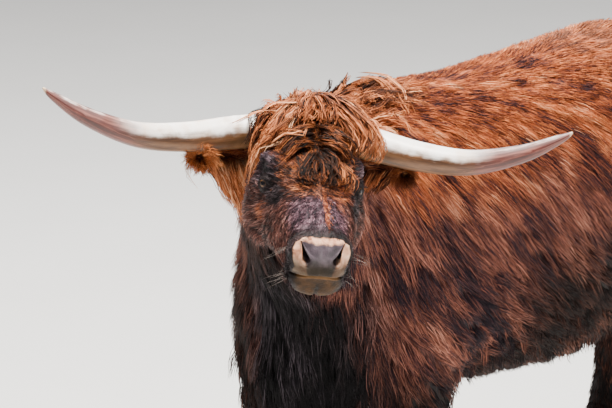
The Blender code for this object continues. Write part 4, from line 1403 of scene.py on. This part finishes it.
def ear_ruff(side, draw):
    """Tufts of a shallow bowl of fur round the ear's hollow, in front of the horn's lower edge."""
    count = 180
    far = side == "r"
    turn = draw.random(count) * 2 * math.pi
    swing = draw.normal(0, 0.55, count)
    upwards = np.maximum(np.sin(turn), 0.0) * (1.0 if far else 0.2)
    reach = 0.013 + 0.016 * draw.random(count) + 0.026 * upwards
    rows = []
    for share in np.arange(5) / 4:
        radius = 0.006 + reach * share**0.8
        fore = 0.030 * share + 0.038 * share**0.6 * upwards
        around = turn + swing * share
        rows.append(np.stack([np.cos(around) * radius, fore, np.sin(around) * radius], axis=1) + EAR_HOLLOW)
    lines = heads_lines(np.stack(rows, axis=1) * (SIGN[side], 1.0, 1.0))
    front = np.tile(FACE_WAY, (count, 1))
    path, owner = lock(lines, front, 6, 0.005, 0.0, reach * 0.14, 4, draw)
    # Painted light and shade: the far ear's ruff is paler, lit in front of its horn, the near one darker in
    # its horn's shade.
    chance = np.clip(0.45 * draw.random(len(path)) + (0.60 if far else -0.10), 0, 1)
    width = 0.0006 * (0.7 + 0.6 * draw.random(len(path)))
    return path, front[owner], lines[owner, 0], chance, width


def ear_coat(side, draw):
    """Tufts of short fur all round the ear's leaf, longer at its rim."""
    mirrored = (SIGN[side], 1.0, 1.0)
    rows = curve(EAR, 4)
    count = 330
    pick = draw.random(count) ** 0.8 * (len(rows) - 1)
    low = np.minimum(pick.astype(int), len(rows) - 2)
    row = blend(rows[low], rows[low + 1], pick - low)
    turn = draw.random(count) * 2 * math.pi
    out = row[:, 0]
    rim = np.abs(np.cos(turn)) ** 2
    facing = unit(np.stack([0 * out, np.sin(turn), np.cos(turn) * 0.7], axis=1))
    apart = unit(np.stack([(out - 0.125) * 0.9, 0 * out + 0.0075, np.cos(turn) * row[:, 3] * 1.5], axis=1))
    lengths = 0.014 + 0.012 * rim * draw.random(count) + 0.006 * smooth_step(0.16, 0.20, out)
    lines = [ear_leaf(row, turn) - facing * 0.002]
    for k in range(1, 5):
        step = unit(apart + facing * (0.55 - 0.1 * k) + np.array((0.0, 0.0, -0.10)) * k)
        lines.append(off_horn(lines[-1] + step * (lengths / 4)[:, None]))
    lines = heads_lines(np.stack(lines, axis=1) * mirrored)
    facing = head_way(facing * mirrored)
    path, owner = lock(lines, facing, 7, 0.006, 0.3, lengths * 0.08, 4, draw)
    width = 0.0009 * (0.7 + 0.6 * draw.random(len(path)))
    # Painted shade: tufts in the ear's hollow are darker than those round it.
    painted_hollow_shade = np.where((np.sin(turn) > 0.2) & (rim < 0.6) & (out > 0.15), -0.1, 0.40)[owner]
    chance = np.clip(0.55 * draw.random(len(path)) + painted_hollow_shade, 0, 1)
    return path, facing[owner], lines[owner, 0], chance, width


def ear_fringe(ground, side, draw):
    """Tufts of the fringe that hangs from the ear's lower edge, fuller on the cow's right."""
    sign = SIGN[side]
    full = side == "r"
    count = (150) if full else 70
    reach = draw.random(count)
    table = curve(EAR, 4)
    low = ((0.06 + 0.66 * reach) * (len(table) - 1)).astype(int)
    out, forward, up, high, _ = table[low].T
    roots = from_head(np.stack([out * sign, forward + high * EAR_CUP + 0.014, up - high * 0.35], axis=1))
    roots += draw.normal(0, 0.004, roots.shape)
    facing = np.tile(unit(head_way((0.1 * sign, 1.0, -0.3))), (count, 1))
    lengths = (0.080 + 0.070 * draw.random(count)) * (0.75 + 0.35 * np.sin(np.pi * reach))
    lengths = lengths * (1.0 if full else 0.40)
    inward = np.stack([-sign * (0.10 + 0.70 * reach), 0.22 - 0.2 * reach, 0 * reach - 1.0], axis=1)
    inward = head_way(inward)
    lines = [roots]
    for k in range(1, 8):
        step = unit(inward + DOWN * 0.06 * k + draw.normal(0, 0.12, (count, 3)))
        lines.append(lines[-1] + step * (lengths / 7)[:, None])
    lines = keep_clear(ground, np.stack(lines, axis=1), 0.004, 0.012, draw)
    path, owner = lock(lines, facing, 7, 0.006, 0.6, lengths * 0.05, 7, draw)
    width = 0.0009 * (0.7 + 0.6 * draw.random(len(path)))
    # Painted light and shade: the cow's right fringe is paler, the left one darker under its horn.
    chance = 0.45 * draw.random(len(path)) + 0.5 * draw.random(count)[owner] + (0.18 if full else 0.0)
    return path, facing[owner], roots[owner], chance, width


def build_ear_hair(ground, side, materials):
    """The ear's fur and its fringe."""
    draw = np.random.default_rng(31 + SIGN[side])
    fur = ear_coat(side, draw)
    fur = [np.concatenate(pair) for pair in zip(fur, ear_ruff(side, draw))]
    knit("ear_fur_" + side, fur, 0.6, EAR_WAY, materials["ear"], "dark_coat")
    fringe = ear_fringe(ground, side, draw)
    knit("ear_fringe_" + side, fringe, 0.8, EAR_WAY, materials["ginger"], "ginger_hair")


def is_flank(body, facing):
    _, back, height = body.T
    return (height > 0.52) & (height < 0.66) & (back > 0.10) & (back < 0.92) & (np.abs(facing[:, 0]) > 0.35)


def is_brisket(body, _):
    across, back, height = body.T
    front = (height < 0.80) & (height > 0.54) & (back < 0.03) & (np.abs(across) < 0.17)
    return front | ((height < 0.62) & (back < 0.16) & (np.abs(across) < 0.12))


def is_crest(body, facing):
    across, back, _ = body.T
    line = np.interp(back, (-0.46, -0.20, -0.04, 0.0), (0.24, 0.10, 0.02, 0.0))
    return (facing[:, 2] > 0.45) & (np.abs(across - line) < 0.075) & (back < 0.14)


def build_long_hair(ground, label, materials):
    """The skirt along the flanks, the brisket's beard, the mane on the crest and the tail's switch."""
    draw = np.random.default_rng(55)
    thin = 1.0

    def choose(nodes, test, spacing):
        chosen = np.flatnonzero(np.isin(label, [NODES.index(node) for node in nodes]))
        roots, facing = ground.scatter(chosen, spacing / math.sqrt(thin), draw)
        body = to_body(roots)
        keep = test(body, facing)
        return (roots[keep], facing[keep]), body[keep]

    grown, body = choose(["barrel", "shoulders", "rump"], is_flank, 0.034)
    aim = np.outer(np.sign(grown[1][:, 0]), (0.1, 0.0, 0.0)) + (0.0, 0.55, -0.9)
    falls = 0.06 + 0.05 * draw.random(len(body)), 0.012, 0.35
    look = materials["coat"], "red_coat"
    hang(ground, "skirt_hair", grown, aim, falls, (8, 0.016, 0.0013, 5), 61, look)

    grown, body = choose(["shoulders", "neck"], is_brisket, 0.028)
    aim = np.outer(grown[1][:, 0], (0.1, 0.0, 0.0)) + (0.0, 0.0, -1.0)
    lengths = 0.08 + 0.07 * draw.random(len(body)) + 0.05 * smooth_step(0.64, 0.56, body[:, 2])
    look = materials["coat"], "black_coat"
    hang(ground, "brisket_hair", grown, aim, (lengths, 0.014, 0.6), (9, 0.015, 0.0013, 6), 62, look)

    grown, body = choose(["neck", "head", "shoulders"], is_crest, 0.0170)
    aim = (0.50, 0.45, 0.35) + draw.normal(0, 0.25, body.shape)
    rising = smooth_step(0.16, -0.05, body[:, 1])
    lengths = (0.07 + 0.09 * draw.random(len(body)) ** 2) * (0.6 + 0.4 * rising)
    falls = lengths, (0.020 + 0.034 * draw.random(len(body))) * (0.35 + 0.65 * rising), 0.55
    look = materials["ginger"], "ginger_hair"
    hang(ground, "mane_hair", grown, aim, falls, (7, 0.009, 0.0011, 6), 63, look, 0.08, 0.3)
    build_switch(materials["brow"])


def build_switch(material):
    """The tail's long brush, in wavy locks of light and dark that part at the bottom."""
    draw = np.random.default_rng(71)
    low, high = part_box("tail_switch")
    middle = (low + high) / 2
    count = 112
    angle = draw.random(count) * 2 * math.pi
    top = high.z + 0.10 - 0.16 * draw.random(count)
    end = low.z + 0.012 + 0.15 * draw.random(count) ** 1.4
    swell = draw.uniform(0.5, 1.0, count)
    facing = np.stack([np.cos(angle), np.sin(angle), 0 * top], axis=1)
    lines = []
    for share in np.linspace(0, 1, 9):
        bulge = 0.016 + (0.036 * math.sin(math.pi * share**1.25) ** 0.8) * swell
        bulge = bulge * (1 - 0.35 * share**3)
        turned = angle + 0.5 * share
        across, back = middle.x + np.cos(turned) * bulge, middle.y + np.sin(turned) * bulge
        lines.append(np.stack([across, back, top + (end - top) * share], axis=1))
    path, owner = lock(np.stack(lines, axis=1), facing, 9, 0.009, 0.75, 0.010, 8, draw)
    width = 0.0013 * (0.7 + 0.6 * draw.random(len(path)))
    chance = 0.55 * draw.random(len(path)) + 0.60 * draw.random(count)[owner] - 0.10
    tufts = path, facing[owner], path[:, 0], chance, width
    knit("tail_switch_hair", tufts, 0.8, (0.0, 0.0, 1.0), material, "ginger_hair", ["tail_switch"])


def build_whiskers(ground, materials):
    """Fine pale whiskers on both sides of the muzzle, and the lashes."""
    draw = np.random.default_rng(81)
    count = 28
    sign = np.where(draw.random(count) < 0.5, -1.0, 1.0)
    turn = draw.uniform(-1.0, 0.5, count)
    forward = 0.385 + 0.05 * draw.random(count)
    local = np.stack([sign * np.cos(turn) * 0.075, forward, -0.03 + np.sin(turn) * 0.060], axis=1)
    roots, facing = ground.nearest(from_head(local))
    sideways = head_way(np.outer(sign, (0.9, 0.0, 0.0)) + (0.0, 0.05, -0.25))
    away = facing * 0.4 + sideways + draw.normal(0, 0.28, (count, 3))
    lengths = 0.022 + 0.036 * draw.random(count)
    share = np.linspace(0, 1, 5)[None, :, None]
    path = roots[:, None] + unit(away)[:, None] * share * lengths[:, None, None] + DOWN * (share**2) * 0.008
    tufts = path, facing, roots, draw.random(count), np.full(count, 0.00015)
    knit("whiskers", tufts, 1.0, FACE_WAY, materials["whisker"], "ginger_hair")
    for side in "lr":
        build_lashes(side, share, materials["lash"], draw)


def build_lashes(side, share, material, draw):
    """Dark lashes along the upper lid."""
    sign = SIGN[side]
    count = 34
    turn = np.linspace(0.15, math.pi - 0.15, count) + draw.normal(0, 0.03, count)
    way = eye_ring(turn, 1.05) * (sign, 1, 1)
    roots = from_head(EYE_PLACES[side] + way * 0.0208)
    facing = head_way(way)
    droop = head_way((0.4 * sign, 0.5, -0.20))
    lengths = (0.009 + 0.005 * draw.random(count))[:, None, None]
    path = roots[:, None] + facing[:, None] * share * lengths * 0.8 + droop * share**1.5 * lengths * 0.8
    tufts = path, facing, roots, draw.random(count), np.full(count, 0.0003)
    knit("lashes_" + side, tufts, 1.0, FACE_WAY, material, "black_coat")


# --- Horns, eyes and hooves


def build_horn(side, material):
    """A long horn, out, down and up again to a fine tip, with its length and top marked on it."""
    rows = curve(HORN, 9)
    centres = rows[:, :3] * (HORN_REACH[side] * SIGN[side], 1.0, 1.0) - (0.0, 0.0, HORN_SINK[side])
    ahead = unit(np.gradient(centres, axis=0))
    across = unit(np.cross(ahead, (0.0, 1.0, 0.0)))
    number = np.arange(len(rows))
    radius = rows[:, 3] * (1.0 + 0.012 * np.sin(number * 2.3) * smooth_step(24, 0, number))
    rings = tube_rings(centres, across, np.cross(ahead, across), radius, 36)
    bm = bmesh.new()
    loft(bm, [from_head(points) for points in rings])
    mesh = mesh_of("horn_" + side, bm)
    local = to_head(rows_of(mesh.vertices, "co"))
    order = np.argmin(np.abs(local[:, 0:1] - centres[None, :, 0]), axis=1)
    away = (local - centres[order]) / np.maximum(radius[order], 1e-4)[:, None]
    add_value(mesh, "reach", order / (len(rows) - 1))
    add_value(mesh, "topside", away[:, 2])
    add_value(mesh, "strip", np.stack([away[:, 2] * 3.2, away[:, 1] * 3.2, order * 0.13], axis=1))
    add_piece("horn_piece_" + side, mesh, material, ["horn_" + side])


def build_eye(side, material):
    """The eyeball, with the cornea's slight swell."""
    bm = bmesh.new()
    middle = Vector(from_head(EYE_PLACES[side]))
    bmesh.ops.create_uvsphere(bm, u_segments=48, v_segments=32, radius=EYE_RADIUS)
    gaze = Vector(head_way(EYE_AXES[0] * (SIGN[side], 1, 1))).normalized()
    for vert in bm.verts:
        facing = vert.co.normalized().dot(gaze)
        vert.co = middle + vert.co * (1.0 + 0.05 * float(smooth_step(0.74, 0.93, facing)))
    add_piece("eye_piece_" + side, mesh_of("eye_" + side, bm), material, ["eye_" + side])


def build_claw(node, material):
    """One half of a hoof: a long wedge, rounded at the sole's edge and drawn in at the coronet."""
    low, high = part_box(node)
    centre = (low + high) / 2
    middle_back = high.y - 0.024
    rows = curve(CLAW, 3)
    angles = np.arange(28) * 2 * math.pi / 28
    rings = []
    for height, toe, heel, half_width in rows:
        shape_x = np.sign(np.cos(angles)) * np.abs(np.cos(angles)) ** 0.85 * half_width
        shape_y = np.sign(np.sin(angles)) * np.abs(np.sin(angles)) ** 0.85 * (toe + heel) / 2
        shape_x = shape_x * (1 - 0.25 * np.clip(-np.sin(angles), 0, 1) ** 3)
        middle = middle_back + (heel - toe) / 2
        rings.append(np.stack([centre.x + shape_x, middle + shape_y, np.full(28, height)], axis=1))
    bm = bmesh.new()
    loft(bm, rings)
    add_piece(node + "_piece", mesh_of(node, bm), material, [node])


def build_dewclaw(node, material):
    """A small blunt spur, with its root drawn forwards into the hair of the pastern."""
    low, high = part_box(node)
    centre = (low + high) / 2
    bm = bmesh.new()
    bmesh.ops.create_uvsphere(bm, u_segments=20, v_segments=14, radius=1.0)
    for vert in bm.verts:
        narrow = 1.0 - 0.35 * max(0.0, -vert.co.z)
        reach = 0.013 if vert.co.y > 0 else 0.026
        vert.co = Vector((vert.co.x * 0.0135 * narrow, vert.co.y * reach * narrow, vert.co.z * 0.020))
        vert.co.y -= vert.co.z * 0.45
        vert.co += centre
    add_piece(node + "_piece", mesh_of(node, bm), material, [node])


# --- Floor, lights and camera


LAMPS = (
    ("key", (0.7, -0.9, 6.4), 1.8, 1500.0, (1.0, 0.95, 0.88)),
    ("rim", (-2.8, 2.0, 4.6), 2.6, 220.0, (0.94, 0.97, 1.0)),
    ("fill", (4.6, -2.0, 1.6), 3.0, 50.0, (1.0, 0.97, 0.94)),
)


def build_stage():
    """A pale floor that reaches far behind, large soft lights and a soft pale surround."""
    bm = bmesh.new()
    bmesh.ops.create_grid(bm, x_segments=2, y_segments=2, size=30.0)
    floor = stand("floor", mesh_of("floor", bm))
    paint = Finish("pale floor")
    grain = paint.noise(paint.place(), 3.0)
    paint.feed(Base_Color=paint.mix(grain, (0.80, 0.79, 0.77), (0.86, 0.85, 0.83)), Roughness=0.9)
    floor.data.materials.append(paint.material)
    world = bpy.data.worlds.new("studio")
    world.use_nodes = True
    sky = world.node_tree.nodes["Background"]
    sky.inputs["Color"].default_value = (0.88, 0.92, 1.0, 1.0)
    sky.inputs["Strength"].default_value = 0.42
    bpy.context.scene.world = world
    for name, place, size, power, colour in LAMPS:
        light = bpy.data.lights.new(name, "AREA")
        light.size = size
        light.energy = power
        light.color = colour
        lamp = stand(name, light)
        lamp.location = place
        lamp.rotation_euler = (HEAD_PLACE - Vector(place)).to_track_quat("-Z", "Y").to_euler()


def build_camera():
    """The camera, which stands round to the cow's left and looks a little below its head."""
    sine, cosine = math.sin(CAMERA_ROUND), math.cos(CAMERA_ROUND)
    level = math.cos(CAMERA_HIGH)
    sideways = Vector((cosine, sine, 0.0))
    backward = Vector((sine * level, -cosine * level, math.sin(CAMERA_HIGH)))
    upward = backward.cross(sideways)
    aim = HEAD_PLACE + sideways * AIM_RIGHT + upward * AIM_UP
    data = bpy.data.cameras.new("camera")
    data.lens = CAMERA_LENS
    data.sensor_width = 36.0
    data.clip_end = 100.0
    camera = stand("camera", data)
    turned = Matrix((sideways, upward, backward)).transposed().to_4x4()
    turned.translation = aim + backward * CAMERA_AWAY
    camera.matrix_world = turned
    bpy.context.scene.camera = camera


def main():
    build_camera()
    build_stage()
    materials = {
        "coat": coat_finish("long coat"),
        "face": coat_finish("face coat", None, 0.62),
        "ginger": coat_finish("ginger hair", GINGER_HAIR),
        "brow": coat_finish("brow hair", BROW_HAIR),
        "ear": coat_finish("ear fur", EAR_HAIR),
        "whisker": coat_finish("whisker", shades((0.0, 120, 108, 102), (1.0, 205, 194, 186))),
        "lash": coat_finish("lash", BLACK_COAT),
    }
    skin, outside, owners = build_skin(skin_finish())
    ground = Ground(skin)
    middles = ground.places[ground.corners].mean(axis=1)
    label = np.array([owners[outside.find_nearest(middle)[2]] for middle in middles.tolist()])
    local = to_head(middles)
    ear = (np.abs(local[:, 0]) > 0.115) & (np.abs(local[:, 2]) < 0.06) & (np.abs(local[:, 1]) < 0.06)
    label[ear & (label < 4)] = -1
    build_coat(ground, label, materials)
    build_forelock(ground, materials)
    build_long_hair(ground, label, materials)
    build_whiskers(ground, materials)
    horn = horn_finish()
    for side in "lr":
        build_ear_hair(ground, side, materials)
        build_horn(side, horn)
        build_eye(side, eye_finish(side))
    claw = claw_finish()
    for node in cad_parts:
        if node.startswith("claw_"):
            build_claw(node, claw)
        elif node.startswith("dewclaw_"):
            build_dewclaw(node, claw)


main()
